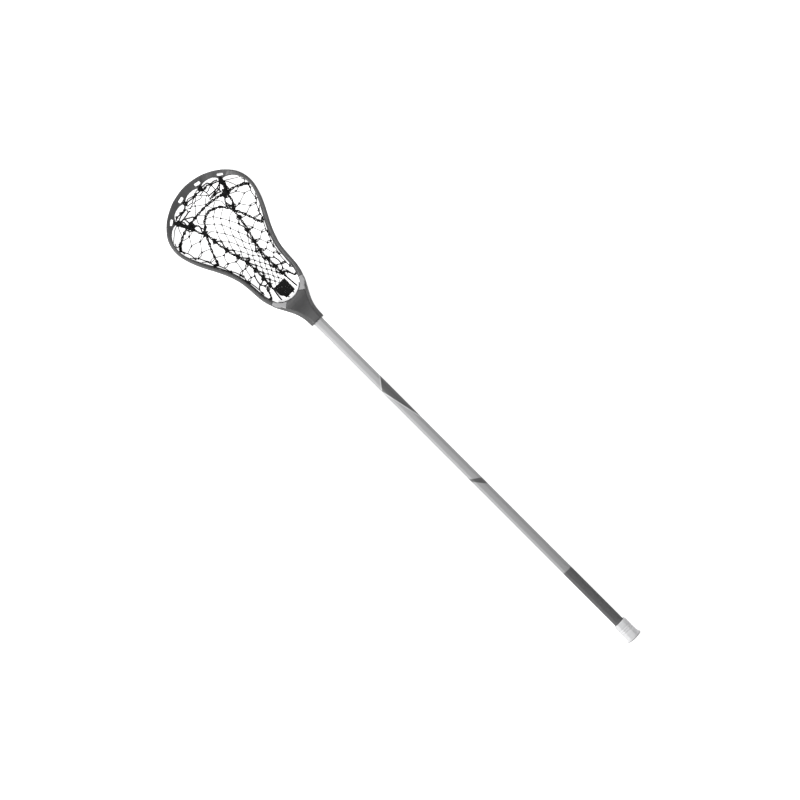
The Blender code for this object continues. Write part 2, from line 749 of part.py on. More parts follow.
def make_strings(look, lace_look):
    lift = RUNNER_RADIUS + GAP + SHOOTER_RADIUS + 0.4
    for half, name in ((STRAIGHT_SHOOTER, "straight"), (U_SHOOTER, "u")):
        path = on_pocket(catmull(mirrored(half), 3), lift)
        cord(f"shooting_string_{name}", path, SHOOTER_RADIUS, look)
    cord("top_string", catmull(mirrored(TOP_STRING), 3), STRING_RADIUS, look)
    steps = 22
    for side, word in ((1, "left"), (-1, "right")):
        runner = catmull([(h, a * side) for h, a in RUNNER], 3)
        cord(f"runner_{word}", on_pocket(runner), RUNNER_RADIUS, look)
        rail = []
        for k in range(steps + 1):
            h = SIDE_STRING_FROM + (SIDE_STRING_TO - SIDE_STRING_FROM) * k / steps
            rail.append((h, side * (inner_side(h) - SIDE_STRING_IN)))
        cord(f"sidewall_string_{word}", on_pocket(rail), STRING_RADIUS, look)
        inner = [(227.6, 15.6), (236, 16.2), (244, 16.9), (251.5, 17.6)]
        outer = [(224, 21.8), (229, 24), (233, 25.8), (236.5, 27.4)]
        for path, place_word in ((inner, "inner"), (outer, "outer")):
            line = catmull([(h, a * side) for h, a in path], 2)
            cord(f"bottom_lace_{word}_{place_word}", on_pocket(line), LACE_RADIUS, lace_look)


def main():
    clear_scene()
    loop = make_head(material("head_plastic", 0.11, 0.45), material("inlay_plastic", 0.37, 0.5))
    make_pad(loop, material("stop_foam", 0.75, 0.85))
    make_shaft(material("shaft_composite", 0.38, 0.35, 0.1))
    make_screw(material("screw_steel", 0.5, 0.3, 1.0))
    make_cap(material("cap_rubber", 0.8, 0.6))
    cords = material("pocket_cord", 0.02, 0.8)
    make_channel(cords)
    make_wing(1, "wing_mesh_left", cords)
    make_wing(-1, "wing_mesh_right", cords)
    make_weave(cords)
    laces = material("lace_cord", 0.015, 0.7)
    make_strings(cords, laces)
    for side, word in ((1, "left"), (-1, "right")):
        for (reach, _, depth), where in zip(TABS, ("inner", "outer")):
            make_lashing(loop, reach, depth, side, f"scoop_lashing_{word}_{where}", laces)


main()
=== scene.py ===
import math
import random

import bmesh
import bpy
from mathutils import Matrix, Vector

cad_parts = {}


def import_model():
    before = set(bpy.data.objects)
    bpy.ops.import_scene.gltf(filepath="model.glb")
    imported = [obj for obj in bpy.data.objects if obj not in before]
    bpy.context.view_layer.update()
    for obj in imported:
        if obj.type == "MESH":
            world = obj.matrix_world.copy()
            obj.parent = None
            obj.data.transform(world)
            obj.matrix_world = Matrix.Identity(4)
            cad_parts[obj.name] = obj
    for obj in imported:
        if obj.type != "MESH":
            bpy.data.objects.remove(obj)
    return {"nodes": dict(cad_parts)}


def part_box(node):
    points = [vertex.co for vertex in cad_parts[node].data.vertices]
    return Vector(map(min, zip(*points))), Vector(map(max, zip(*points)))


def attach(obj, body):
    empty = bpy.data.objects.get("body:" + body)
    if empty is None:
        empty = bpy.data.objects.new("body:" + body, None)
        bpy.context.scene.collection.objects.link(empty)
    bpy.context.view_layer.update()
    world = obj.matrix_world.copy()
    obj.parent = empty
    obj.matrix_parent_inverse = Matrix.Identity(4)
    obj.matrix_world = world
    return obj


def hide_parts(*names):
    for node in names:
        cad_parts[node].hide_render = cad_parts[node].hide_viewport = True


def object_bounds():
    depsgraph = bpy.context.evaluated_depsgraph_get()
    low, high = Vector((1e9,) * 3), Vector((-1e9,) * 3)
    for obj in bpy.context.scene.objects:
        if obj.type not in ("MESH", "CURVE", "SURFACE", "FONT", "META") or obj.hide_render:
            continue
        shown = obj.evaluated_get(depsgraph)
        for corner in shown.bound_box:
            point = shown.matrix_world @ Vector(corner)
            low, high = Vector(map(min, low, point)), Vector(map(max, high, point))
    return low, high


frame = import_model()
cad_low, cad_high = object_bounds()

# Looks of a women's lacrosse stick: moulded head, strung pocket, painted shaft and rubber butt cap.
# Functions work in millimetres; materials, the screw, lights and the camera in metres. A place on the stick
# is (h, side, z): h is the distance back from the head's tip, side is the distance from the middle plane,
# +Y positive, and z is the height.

MM = 0.001
TIP = cad_high.x / MM
SIDES = ((1, "left"), (-1, "right"))
random.seed(7)

# Head outline, rails and inner reach, as in the CAD
OUTLINE = [(0, 0), (1.9, 18), (6.5, 36), (15.2, 54), (23.5, 66), (31, 73.8), (39, 80.6), (47, 85.4),
           (55, 88.3), (63, 89.9), (71, 90.4), (83, 89.1), (103, 83.2), (123, 74.2), (143, 63.6),
           (163, 54.5), (183, 48.2), (203, 45.6), (223, 44.5), (236, 42.6), (250, 38.2), (260, 31.4),
           (268, 21.4), (272.4, 10), (273.6, 0)]
FOOT = [(0, 5.2), (62, 6), (80, 6.6), (107, 8.7), (124, 9.6), (148, 10.2), (172, 9.4), (206, 9), (226, 9.5),
        (246, 10.3), (262, 9.2)]
FOOT_WIDTH = 7.0
BOTTOM_RAIL = [(0, 31), (15, 24), (40, 13), (70, 5.5), (100, 1.5), (125, 0), (274, 0)]
CHANNEL = [(20, 33.5), (45, 25), (80, 15), (120, 8.5), (160, 4.9), (200, 4.4), (235, 5.4), (258, 8)]
HOLE_FROM, HOLE_PITCH, HOLE_COUNT, HOLE_HEIGHT = 103.9, 22.3, 10, 3.2
STOP_CENTRE, STOP_HOLE_Z = 231.5, 6.8
# Tongues of the scoop: distance round the outline, height of the lip, depth of the slot from the outline
TONGUES = {"inner": (21.8, 40.8, 9.6), "outer": (68.3, 39.6, 7.4)}
SCOOP_DROP = 5.0
SCOOP_END, NET_LIFT = 62, 2.4  # h where the sides of the opening start, height of the net there over the holes

# Cords of the pocket. Tables for one side hold (h, distance from the middle), for side +1 and -1
RUNNERS = {
    1: [(36, 50), (40, 49), (46, 47), (50, 44.5), (55, 41), (60, 40.3), (66, 39), (74, 36), (79, 31.8),
        (85, 30.5), (95, 29), (100, 29), (112, 27.5), (125, 25), (132, 24), (140, 22), (147, 19.3),
        (155, 17.5), (164, 15), (175, 14.4), (184, 14), (203, 14), (221, 15), (228, 15.5)],
    -1: [(36, 51.5), (40, 52), (47, 50), (52, 47), (56, 44), (62, 44), (68, 43.3), (74, 41.5), (79, 37.5),
         (84, 33.5), (92, 31.5), (100.5, 30.3), (112, 28.5), (124, 25.7), (131, 24.5), (138, 22),
         (147, 19.6), (155, 18.5), (165, 15.5), (175, 15), (185, 15), (203, 15), (214, 15), (228, 15.7)],
}
RUNNER_KNOTS = [80, 100, 125, 147, 165, 184, 203, 220]
# Loops towards the channel: h of the knot above, tip as h and distance from the middle, h of the knot below
LOOPS = {
    1: [(100, 108, 21, 125), (125, 133.5, 17, 147), (147, 162, 8, 165), (165, 179.5, 8, 184),
        (184, 197, 8, 203), (203, 213, 8, 220)],
    -1: [(100, 108, 22, 125), (125, 133, 18, 147), (147, 162, 9, 165), (165, 180, 10.5, 184),
         (184, 197, 9.5, 203), (203, 212, 9, 220)],
}
INNER_LEGS = {
    1: [[(56, 37), (60, 33), (62.7, 29.8), (67, 29.6), (72.7, 32), (78, 31)],
        [(67, 29.6), (72.7, 27.4), (78, 29)]],
    -1: [[(57, 41), (60, 37), (63, 34), (66, 32.3), (72, 33), (79, 35)],
         [(66, 32.3), (71, 29.8), (78, 33)]],
}
STRAIGHT = {
    1: [(65.5, 80), (62, 72), (59, 67), (55, 58), (52, 48), (51, 40), (50.5, 33), (50, 28), (49, 20),
        (48.5, 10)],
    -1: [(66.5, 79), (64, 72), (60, 64), (57.5, 55), (56.5, 45), (54, 37), (51.5, 30), (50, 20), (48.5, 10),
         (48, 0)],
}
U_STRING = {
    1: [(136.5, 54.4), (130, 52), (124, 50), (113, 46), (103, 41.5), (93, 36.5), (85, 33), (77, 28),
        (71, 22), (66, 18.5), (61, 12), (58.5, 3)],
    -1: [(136.5, 54.6), (131, 51.5), (125, 48.5), (117, 46), (110, 43.5), (103, 41), (96, 38), (90, 35),
         (84, 32), (78, 29), (72, 25), (67, 21), (63, 15), (61, 10), (59, 5), (57.5, 0)],
}
WALL_STRINGS = {
    1: [(70, 80.5), (77, 80), (82, 76.5), (90, 74.5), (97.5, 73.5), (101, 69.5), (108, 66), (115, 62.5),
        (120, 60.5), (125, 59.5), (130, 57), (134, 54), (145, 49.5), (157, 46), (160, 43), (170, 39),
        (178, 36.5), (185, 38), (192, 36.5), (208, 34), (220, 33.5), (226, 34)],
    -1: [(70, 80.5), (78, 80), (81.5, 77), (90, 75), (98, 73.5), (103, 68.5), (110, 65), (117, 61.5),
         (121, 60), (126, 59.5), (132, 56), (148, 47.5), (155, 46), (162, 43), (167, 40), (175, 37),
         (184, 37), (188, 35), (200, 33.5), (210, 33), (215, 32.5), (226, 34)],
}
# Hole number: h of its tie to the wall's string
STRING_TIES = {1: 77, 2: 97.5, 3: 116, 5: 157, 6: 177, 7: 192, 8: 221}
# Channel: the nodes of each row as (h, side). They are two columns apart, in the middle of the row
CHANNEL_ROWS = [
    [(63, 12), (62, -10)], [(69, 0.5)], [(79, 8.5), (80, -6.5)], [(92, 15), (89, 0), (92.5, -14)],
    [(103, 7), (103, -6)], [(118, 12), (116, 0), (117.5, -11.5)], [(132.5, 5.3), (132, -5.5)],
    [(144, 9.5), (143.5, 0), (144, -10.5)], [(156, 4), (156, -5.5)], [(162, 8), (163, -0.5), (162, -9)],
    [(171, 3.5), (171, -7)], [(179.5, 8), (180, -0.5), (180, -10.5)], [(188, 3.5), (188, -5.5)],
    [(197, 8), (196.5, -0.5), (197, -9.5)], [(204, 3.5), (204, -5)], [(213, 8), (213, -0.5), (212, -9)],
    [(221, 4), (221, -4.5)], [(229, 9), (229, 0), (229, -8)],
]
CHANNEL_CORDS = [
    [(22.7, -4), (25.2, -4), (29.1, -9), (36.6, -17)], [(22.7, -4), (28.1, 0.3), (30.9, 6), (35.6, 9.6)],
    [(35.6, 9.6), (32.7, 13.1), (32.4, 18), (29, 24)],
    [(35.6, 9.6), (41.3, 15.3), (45.6, 19.2), (49, 20)],
    [(35.6, 9.6), (39.1, 5.3), (45.9, -4.7), (49, -5)], [(45.9, -4.7), (39.9, -11.1), (36.6, -17)],
    [(36.6, -17), (39.9, -18.3), (44, -17.5), (49, -21)],
    [(32.4, 18), (30.9, 11.7), (30.9, 3), (33.1, -6.1), (31.6, -11.6)],
    [(49, 20), (52, 23), (60, 26.7), (66.3, 21.7), (68.5, 20.2)],
    [(50, 17), (53, 14), (56.3, 10.3), (60, 9)], [(49, 0), (51.3, 1.7), (55.6, 6), (59, 8)],
    [(49, -4.5), (51.3, -6), (57, -8.3), (61, -10)], [(50, -21), (53.4, -19.7), (57.7, -11), (61, -10)],
    [(52, -21), (54.9, -24), (61.3, -28.3), (68, -28), (77.5, -29)], [(60, 33), (62.7, 30), (67.7, 29)],
    [(69, 20.5), (74, 13.5), (79, 8.5)], [(70, -23), (75, -13), (80, -6.5)],
    [(83, 29), (84, 22), (92, 15)], [(85, -30), (87, -22), (92.5, -14)],
    [(92, 15), (100, 18.5), (108, 20.5), (113, 17), (118, 12)],
    [(118, 12), (128, 15.5), (133.5, 16.5), (144, 9.5)], [(144, 9.5), (149, 12.5), (155, 15)],
    [(92.5, -14), (100, -18), (108, -21), (113, -17), (117.5, -11.5)],
    [(117.5, -11.5), (128, -16), (133, -17.5), (144, -10.5)], [(144, -10.5), (149, -13.5), (155, -16)],
]
WINGS = {
    1: [[(36, 54), (40, 65), (44, 70), (54, 83)], [(38, 53), (44, 58), (52, 61), (57, 63)],
        [(61, 68), (63.5, 60), (64, 54), (63, 47), (61, 43), (57, 41)],
        [(55, 44), (58, 48), (64, 54), (70, 57.5), (78, 63)],
        [(81, 33), (82, 38), (83, 47), (80, 54), (78, 63), (80.5, 72), (82, 76.5)],
        [(76, 34), (79, 40), (83, 47)], [(83, 47), (90, 52), (98, 58)],
        [(104, 42), (101, 50), (98, 58), (98, 65), (101, 69.5)], [(98, 58), (101, 63), (101, 69.5)],
        [(119, 48), (118, 55), (120, 60.5)], [(120.5, 48), (121.5, 55), (120, 60.5)],
        [(120, 48), (125, 40), (128, 34.5), (126, 30), (125, 26)], [(128, 34.5), (134, 38), (143, 40)],
        [(143, 40), (147, 33), (150, 28), (147, 24), (147, 20)], [(150, 28), (151, 24), (149, 19)],
        [(143, 40), (141.5, 44), (143, 50)], [(143, 40), (145.5, 44), (144, 50)],
        [(150, 28), (160, 29), (169, 31)], [(169, 31), (169, 36), (172, 38.5)],
        [(169, 31), (173, 35), (172, 38.5)], [(169, 31), (170, 25), (167, 22), (164, 16)],
        [(170, 25), (170.5, 21), (167, 16)], [(170, 25), (180, 27), (188, 28.5)],
        [(188, 28.5), (187, 33), (189, 37)], [(188, 28.5), (191, 33), (189, 37)],
        [(188, 28.5), (190, 22.5), (187, 19), (185, 15)], [(190, 22.5), (200, 25.5), (208, 26)],
        [(208, 26), (209.5, 30), (214, 33.5)], [(208, 26), (207, 21), (203, 16)],
        [(208, 26), (215, 22), (215, 16)], [(215, 22), (222, 24.5), (228, 24.5)]],
    -1: [[(38, 55), (45, 67), (54, 83)], [(40, 56), (45, 60), (58, 65.5)],
         [(61, 48), (64, 53), (65, 58), (64.5, 63), (62, 68)], [(65, 58), (70, 61.5), (77.5, 66)],
         [(84, 34), (84, 47), (82, 53), (79.5, 60), (77.5, 66), (79, 72), (81.5, 77)],
         [(84, 47), (90, 51), (99.5, 58)], [(105, 43), (102, 51), (99.5, 58), (99, 64), (103, 68.5)],
         [(99.5, 58), (102.5, 63), (103, 68.5)], [(103, 31), (105, 36), (106, 41)],
         [(117, 47), (119, 54), (121, 60)], [(119, 48), (121, 54), (121, 60)],
         [(123, 47), (127, 38), (128.5, 34), (128, 29), (125, 26)], [(120, 29), (124, 33), (128.5, 34)],
         [(128.5, 34), (140, 39), (145, 40)], [(145, 40), (149, 33), (151, 29), (147, 24), (147, 20)],
         [(151, 29), (152, 24), (149, 19)], [(145, 40), (143.5, 44), (146, 49)],
         [(145, 40), (148, 44), (147, 49)], [(151, 29), (158, 31.5), (165, 34)],
         [(165, 34), (163, 37), (167, 40)], [(165, 34), (167.5, 37), (167, 40)],
         [(165, 34), (170.5, 25), (168, 21), (165, 17)], [(170.5, 25), (171.5, 21), (168, 16)],
         [(170.5, 25), (178, 27), (185, 29)], [(185, 29), (184, 33), (188, 35)],
         [(185, 29), (188, 31.5), (188, 35)], [(185, 29), (190, 24), (187, 19), (185, 16)],
         [(190, 24), (200, 26), (208, 25)], [(208, 25), (210, 29), (212, 33)],
         [(208, 25), (207, 29), (210, 33)], [(208, 25), (204, 20), (202, 16)],
         [(208, 25), (215, 21), (215, 16)], [(215, 21), (222, 24.5), (228, 24.5)]],
}
# Cords under the scoop, as (h, side): the top string first, then the ones that hang on it
TOP_LINES = [
    [(31, 50), (27.9, 46), (28, 39.6), (27.6, 35.3), (28.4, 31), (28, 27), (25.6, 23.9), (22, 20.3),
     (22.2, 16), (22.4, 12.4), (23.1, 6), (23.8, 0.3), (22.7, -4), (23.8, -10.4), (23.8, -16),
     (24.5, -19), (26.3, -24), (25.2, -29), (27, -32.6), (28.8, -35.4), (27.8, -41), (31, -49)],
    [(22, 16), (19.8, 12.4), (19.3, 9.6), (20.9, 3.1), (22.7, -4), (21.3, -6.9), (19.6, -9.7), (20, -14),
     (22, -17)],
    [(27.4, 18.9), (27.4, 13.9), (28.8, 9.2), (26.6, 6), (24.9, 1.7), (22.7, -4)],
    [(29.1, -9), (28.1, -15.4), (27, -19)], [(27, -19), (33, -20), (39, -20)],
    [(33, -20), (32.7, -25.4), (30.2, -30.4), (30.6, -34)], [(28.8, -35.4), (33.4, -35), (39.5, -34.7)],
]
LACE_ENDS = {
    ("left", "inner"): [
        [(21, 20), (25, 23), (28, 27), (28.7, 32), (27.6, 35.3), (28.6, 40)],
        [(22, 16), (24, 22), (27, 25), (29.3, 29), (30.2, 36.7)],
    ],
    ("right", "inner"): [
        [(20.5, -21), (21.6, -23.6), (22, -29.7), (23.8, -33.3), (28.8, -35.4)],
        [(22, -18), (27, -19), (26.3, -24), (25.2, -29)],
    ],
    ("left", "outer"): [
        [(33, 51), (36.6, 46), (37.4, 41.7), (36.8, 36), (36.4, 31.7), (35.2, 26), (35.9, 21.4)],
        [(33, 49), (33.4, 46), (31.6, 41.7), (30.2, 36.7), (29, 32)], [(35.2, 26), (31, 24.6)],
        [(37.4, 41.7), (38.5, 38.5), (43, 37.8), (49, 37.8)],
        [(37.4, 41.7), (40.2, 35.3), (42.4, 31.7), (45.6, 26), (49, 24)],
        [(36, 49), (39, 45), (43, 43), (49, 44)],
    ],
    ("right", "outer"): [
        [(34, -51), (37.7, -46), (39.9, -39.7), (40.6, -34.7), (42.7, -29.7), (43.4, -22.6),
         (45.6, -15.4)],
        [(36, -49), (43.4, -41), (43.4, -36.9), (44.9, -28.3), (46.3, -21)],
        [(39.9, -39.7), (44, -39), (49, -39.5)], [(49, -39.5), (46.3, -32.6), (47, -25.4)],
        [(34, -49), (32, -44.7), (28.8, -35.4)], [(39.9, -18.3), (40, -25), (40.6, -34.7)],
    ],
}
BOTTOM_LACES = {
    (1, "inner"): [(225, 15), (232, 15.8), (240, 17.2), (252, 18.5)],
    (1, "outer"): [(218, 20), (222, 22), (228, 24.5), (233, 26.5), (239, 29.5)],
    (-1, "inner"): [(224, 15.5), (230, 15.8), (240, 16.5), (252, 17.5)],
    (-1, "outer"): [(219, 19), (223, 22), (228, 24.5), (233, 26.5), (238, 28.7)],
}
# Woven patch: its ends, and its side edges by h
WEAVE_FROM, WEAVE_TO = 229.5, 254.5
WEAVE_LEFT = [(229, 13.2), (240, 14), (246, 13.2), (250, 10.2), (255, 8.8)]
WEAVE_RIGHT = [(229, -9.8), (240, -10), (255, -9.6)]


def place(h, side, z):
    return Vector(((TIP - h) * MM, side * MM, z * MM))


def new_object(name, data):
    obj = bpy.data.objects.new(name, data)
    bpy.context.scene.collection.objects.link(obj)
    return obj


def apply_modifiers(obj):
    graph = bpy.context.evaluated_depsgraph_get()
    mesh = bpy.data.meshes.new_from_object(obj.evaluated_get(graph))
    obj.modifiers.clear()
    obj.data = mesh


def smooth(table, x):
    """The value at x of a smooth curve through (x, value) pairs, level beyond its ends."""
    if x <= table[0][0]:
        return table[0][1]
    if x >= table[-1][0]:
        return table[-1][1]
    i = max(k for k in range(len(table) - 1) if table[k][0] <= x)

    def slope(k):
        a, b = max(k - 1, 0), min(k + 1, len(table) - 1)
        return (table[b][1] - table[a][1]) / (table[b][0] - table[a][0])

    (x0, y0), (x1, y1) = table[i], table[i + 1]
    span = x1 - x0
    t = (x - x0) / span
    return ((2 * t**3 - 3 * t**2 + 1) * y0 + (t**3 - 2 * t**2 + t) * span * slope(i)
            + (3 * t**2 - 2 * t**3) * y1 + (t**3 - t**2) * span * slope(i + 1))


def catmull(points, per_span, closed=False):
    """Points along a smooth curve through the given ones (tuples or vectors of any length)."""
    n = len(points)
    made = []
    for i in range(n if closed else n - 1):
        quad = [points[(i + k) % n] if closed else points[min(max(i + k, 0), n - 1)] for k in (-1, 0, 1, 2)]
        for step in range(per_span):
            t = step / per_span
            made.append(tuple(
                0.5 * (2 * b + (c - a) * t + (2 * a - 5 * b + 4 * c - d) * t * t
                       + (3 * b - a - 3 * c + d) * t**3)
                for a, b, c, d in zip(*quad)))
    if not closed:
        made.append(tuple(points[-1]))
    return made


def inner_side(h):
    """Half width of the opening between the bottom rails, beyond the scoop."""
    return smooth(OUTLINE[7:], h) - smooth(FOOT, h) * 1.12


def pocket_z(h, side):
    middle = smooth(CHANNEL, h)
    wall = smooth(BOTTOM_RAIL, h) + HOLE_HEIGHT + NET_LIFT
    share = min(1.0, abs(side) / max(inner_side(max(h, SCOOP_END)), 1.0))
    return middle + (wall - middle) * share**2


def on_net(h, side, lift=0.0):
    return (h, side, pocket_z(h, side) + lift)


def outline_at(reach, side):
    """The outline's point at that distance round from the tip on one side, with its inward direction."""
    line = catmull([(h, a * side) for h, a in OUTLINE], 12)
    walked = 0.0
    for a, b in zip(line, line[1:]):
        a, b = Vector(a), Vector(b)
        step = (b - a).length
        if walked + step >= reach:
            along = (b - a).normalized()
            return a.lerp(b, (reach - walked) / step), Vector((along.y, -along.x)) * side
        walked += step
    return Vector(line[-1]), Vector((-1, 0))


# String holes by number and side: point on the outline, inward direction, height, depth of the inner face
HOLES = {}
for side in (1, -1):
    for k in range(HOLE_COUNT):
        point, inward = outline_at(HOLE_FROM + HOLE_PITCH * k, side)
        HOLES[k, side] = (point, inward, smooth(BOTTOM_RAIL, point.x) + HOLE_HEIGHT, smooth(FOOT, point.x))


def hole_path(k, side, *depths):
    """Points on a string hole's axis, at distances in from the rail's inner face. None passes the outline."""
    point, inward, z, foot = HOLES[k, side]
    return [(*(point + inward * max(foot + d, 0.3)), z) for d in depths]


def stop_hole(degrees, *reaches):
    """Points on the axis of a hole in the ball stop's wall, at distances from the stop's centre."""
    turn = math.radians(degrees)
    return [(STOP_CENTRE + r * math.cos(turn), r * math.sin(turn), STOP_HOLE_Z) for r in reaches]


# ---- Cords

class Yarn:
    """Collects round cords into one mesh. The UV map holds each point's millimetres along and turns round."""

    def __init__(self):
        self.verts, self.faces, self.uvs = [], [], []

    def tube(self, path, radius, sides=6, closed=False):
        """One cord along (h, side, z) points. radius may be a function of the share of the way along."""
        line = [place(*p) / MM for p in path]
        line = [p for i, p in enumerate(line) if i == 0 or (p - line[i - 1]).length > 1e-4]
        n = len(line)
        count = n + 1 if closed else n
        base = len(self.verts)
        normal = None
        reach = [0.0]
        spans = [(line[(i + 1) % n] - line[i]).length for i in range(n)]
        for i in range(count - 1):
            reach.append(reach[-1] + spans[i % n])
        for i in range(n):
            ahead = line[(i + 1) % n] if closed or i < n - 1 else line[i]
            behind = line[i - 1] if closed or i else line[i]
            along = (ahead - behind).normalized()
            if normal is None:
                normal = Vector((0, 0, 1)) if abs(along.z) < 0.9 else Vector((0, 1, 0))
            normal = (normal - along * normal.dot(along)).normalized()
            across = along.cross(normal)
            r = radius(reach[i] / reach[-1]) if callable(radius) else radius
            for k in range(sides):
                turn = 2 * math.pi * k / sides
                self.verts.append((line[i] + (across * math.cos(turn) + normal * math.sin(turn)) * r) * MM)
        for i in range(count - 1):
            a, b = base + i * sides, base + ((i + 1) % n) * sides
            for k in range(sides):
                q = (k + 1) % sides
                self.faces.append((a + k, b + k, b + q, a + q))
                v0, v1 = k / sides, (k + 1) / sides
                self.uvs += [(reach[i], v0), (reach[i + 1], v0), (reach[i + 1], v1), (reach[i], v1)]
        if not closed:
            for first, order in ((base, 1), (base + (n - 1) * sides, -1)):
                ring = [first + k for k in range(sides)][::order]
                self.faces.append(tuple(ring))
                self.uvs += [(reach[0 if order == 1 else -1], k / sides) for k in range(sides)]

    def twist(self, path, strand, spread, pitch, strands=2, sides=6, taper=0.0, start=0.0, flat=1.0):
        """Strands that wind round each other along the path. taper is how much they close up at both ends."""
        line = [Vector(p) for p in path]
        fine = [line[0]]
        for a, b in zip(line, line[1:]):
            steps = max(1, round((b - a).length / (pitch / 12)))
            fine += [a.lerp(b, (k + 1) / steps) for k in range(steps)]
        total = sum((b - a).length for a, b in zip(fine, fine[1:]))

        def thinned(share):
            return strand * (1 - 0.25 * taper * math.exp(-min(share, 1 - share) * total / 3.0))

        for s in range(strands):
            walked, made, normal = 0.0, [], Vector((0, 0, 1))
            for i, p in enumerate(fine):
                along = (fine[min(i + 1, len(fine) - 1)] - fine[max(i - 1, 0)]).normalized()
                if abs(along.dot(normal)) > 0.95:
                    normal = Vector((0, 1, 0))
                normal = (normal - along * normal.dot(along)).normalized()
                across = along.cross(normal)
                turn = 2 * math.pi * (walked / pitch + s / strands) + start
                edge = min(walked, total - walked)
                width = spread * (1 - taper * math.exp(-edge / 3.0))
                made.append(p + (across * math.cos(turn) + normal * math.sin(turn) * flat) * width)
                if i < len(fine) - 1:
                    walked += (fine[i + 1] - p).length
            self.tube(made, thinned, sides)

    def knot(self, at, size, cord, seed):
        """A small overhand knot: a tight trefoil of cord."""
        rng = random.Random(seed)
        turned = Matrix.Rotation(rng.uniform(0, 2 * math.pi), 3, "Z")
        lean_x, lean_y = (Matrix.Rotation(rng.uniform(-0.7, 0.7), 3, axis) for axis in "XY")
        made = []
        for k in range(20):
            t = 2 * math.pi * k / 20
            p = Vector((math.sin(t) + 2 * math.sin(2 * t),
                        math.cos(t) - 2 * math.cos(2 * t),
                        -1.2 * math.sin(3 * t)))
            made.append(Vector(at) + lean_x @ lean_y @ turned @ p * size / 3)
        self.tube(made, cord, 5, closed=True)

    def build(self, name, look, body="stick"):
        mesh = bpy.data.meshes.new(name)
        mesh.from_pydata(self.verts, [], self.faces)
        mesh.uv_layers.new(name="cord").data.foreach_set("uv", [c for uv in self.uvs for c in uv])
        mesh.materials.append(look)
        mesh.shade_smooth()
        obj = new_object(name, mesh)
        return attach(obj, body)


def sagged(a, b, sag, steps):
    """Points from a to b with the middle pushed by the (h, side, z) vector sag."""
    a, b, sag = Vector(a), Vector(b), Vector(sag)
    return [a.lerp(b, k / steps) + sag * math.sin(math.pi * k / steps) for k in range(steps + 1)]


# ---- Materials

class Look:
    """A node material with a short way to add nodes and links."""

    def __init__(self, name, rough, metallic=0.0, **sockets):
        self.material = bpy.data.materials.new(name)
        self.material.use_nodes = True
        self.tree = self.material.node_tree
        self.shader = self.tree.nodes["Principled BSDF"]
        self.shader.inputs["Metallic"].default_value = metallic
        self.shader.inputs["Roughness"].default_value = rough
        for socket, value in sockets.items():
            self.shader.inputs[socket.replace("_", " ")].default_value = value
        self.place = self.add("ShaderNodeTexCoord").outputs["Object"]

    def add(self, kind, inputs=(), **settings):
        node = self.tree.nodes.new(kind)
        for key, value in settings.items():
            setattr(node, key, value)
        for socket, value in dict(inputs).items():
            if isinstance(value, bpy.types.NodeSocket):
                self.tree.links.new(value, node.inputs[socket])
            else:
                node.inputs[socket].default_value = value
        return node

    def math(self, operation, *values):
        return self.add("ShaderNodeMath", enumerate(values), operation=operation).outputs[0]

    def times(self, a, b):
        return self.math("MULTIPLY", a, b)

    def noise(self, scale, detail=3.0, rough=0.55, vector=None):
        inputs = {"Vector": vector or self.place, "Scale": scale, "Detail": detail, "Roughness": rough}
        return self.add("ShaderNodeTexNoise", inputs).outputs["Fac"]

    def spread(self, value, low, high, out_low=0.0, out_high=1.0):
        return self.add("ShaderNodeMapRange", {"Value": value, "From Min": low, "From Max": high,
                                               "To Min": out_low, "To Max": out_high}).outputs["Result"]

    def blend(self, share, a, b, mode="MIX"):
        a, b = (c if isinstance(c, bpy.types.NodeSocket) else (*c, 1.0) for c in (a, b))
        return self.add("ShaderNodeMix", {0: share, 6: a, 7: b}, data_type="RGBA", blend_type=mode).outputs[2]

    def colour(self, socket):
        self.tree.links.new(socket, self.shader.inputs["Base Color"])

    def rough(self, socket):
        self.tree.links.new(socket, self.shader.inputs["Roughness"])

    def bump(self, height, distance, strength):
        node = self.add("ShaderNodeBump", {"Height": height, "Distance": distance, "Strength": strength})
        self.tree.links.new(node.outputs["Normal"], self.shader.inputs["Normal"])

    def split(self, vector=None):
        return self.add("ShaderNodeSeparateXYZ", {0: vector or self.place}).outputs[:]


def grey(value):
    return (value, value, value * 1.015)


def plastic(name, base, lift, rough):
    """Moulded nylon: a fine spark-eroded grain, cloudy shade, and edges painted a little paler: a painted edge
    highlight, broken into patches like wear.
    """
    look = Look(name, rough, IOR=1.5)
    cloud = look.noise(26.0, 4.0)
    shade = look.blend(look.spread(cloud, 0.35, 0.68), grey(base * 0.9), grey(base * 1.12))
    # Paler edges: a painted edge highlight on convex edges, broken into patches like wear.
    edge = look.spread(look.add("ShaderNodeNewGeometry").outputs["Pointiness"], 0.515, 0.56)
    edge_patches = look.spread(look.noise(240.0, 5.0, 0.7), 0.45, 0.7)
    edge_highlight_and_wear = look.times(edge, edge_patches)
    look.colour(look.blend(look.times(edge_highlight_and_wear, 0.5), shade, grey(lift)))
    look.rough(look.spread(look.noise(60.0, 4.0), 0.3, 0.7, rough - 0.07, rough + 0.1))
    look.bump(look.noise(1980.0, 2.0, 0.6), 0.00006, 0.55)
    return look.material


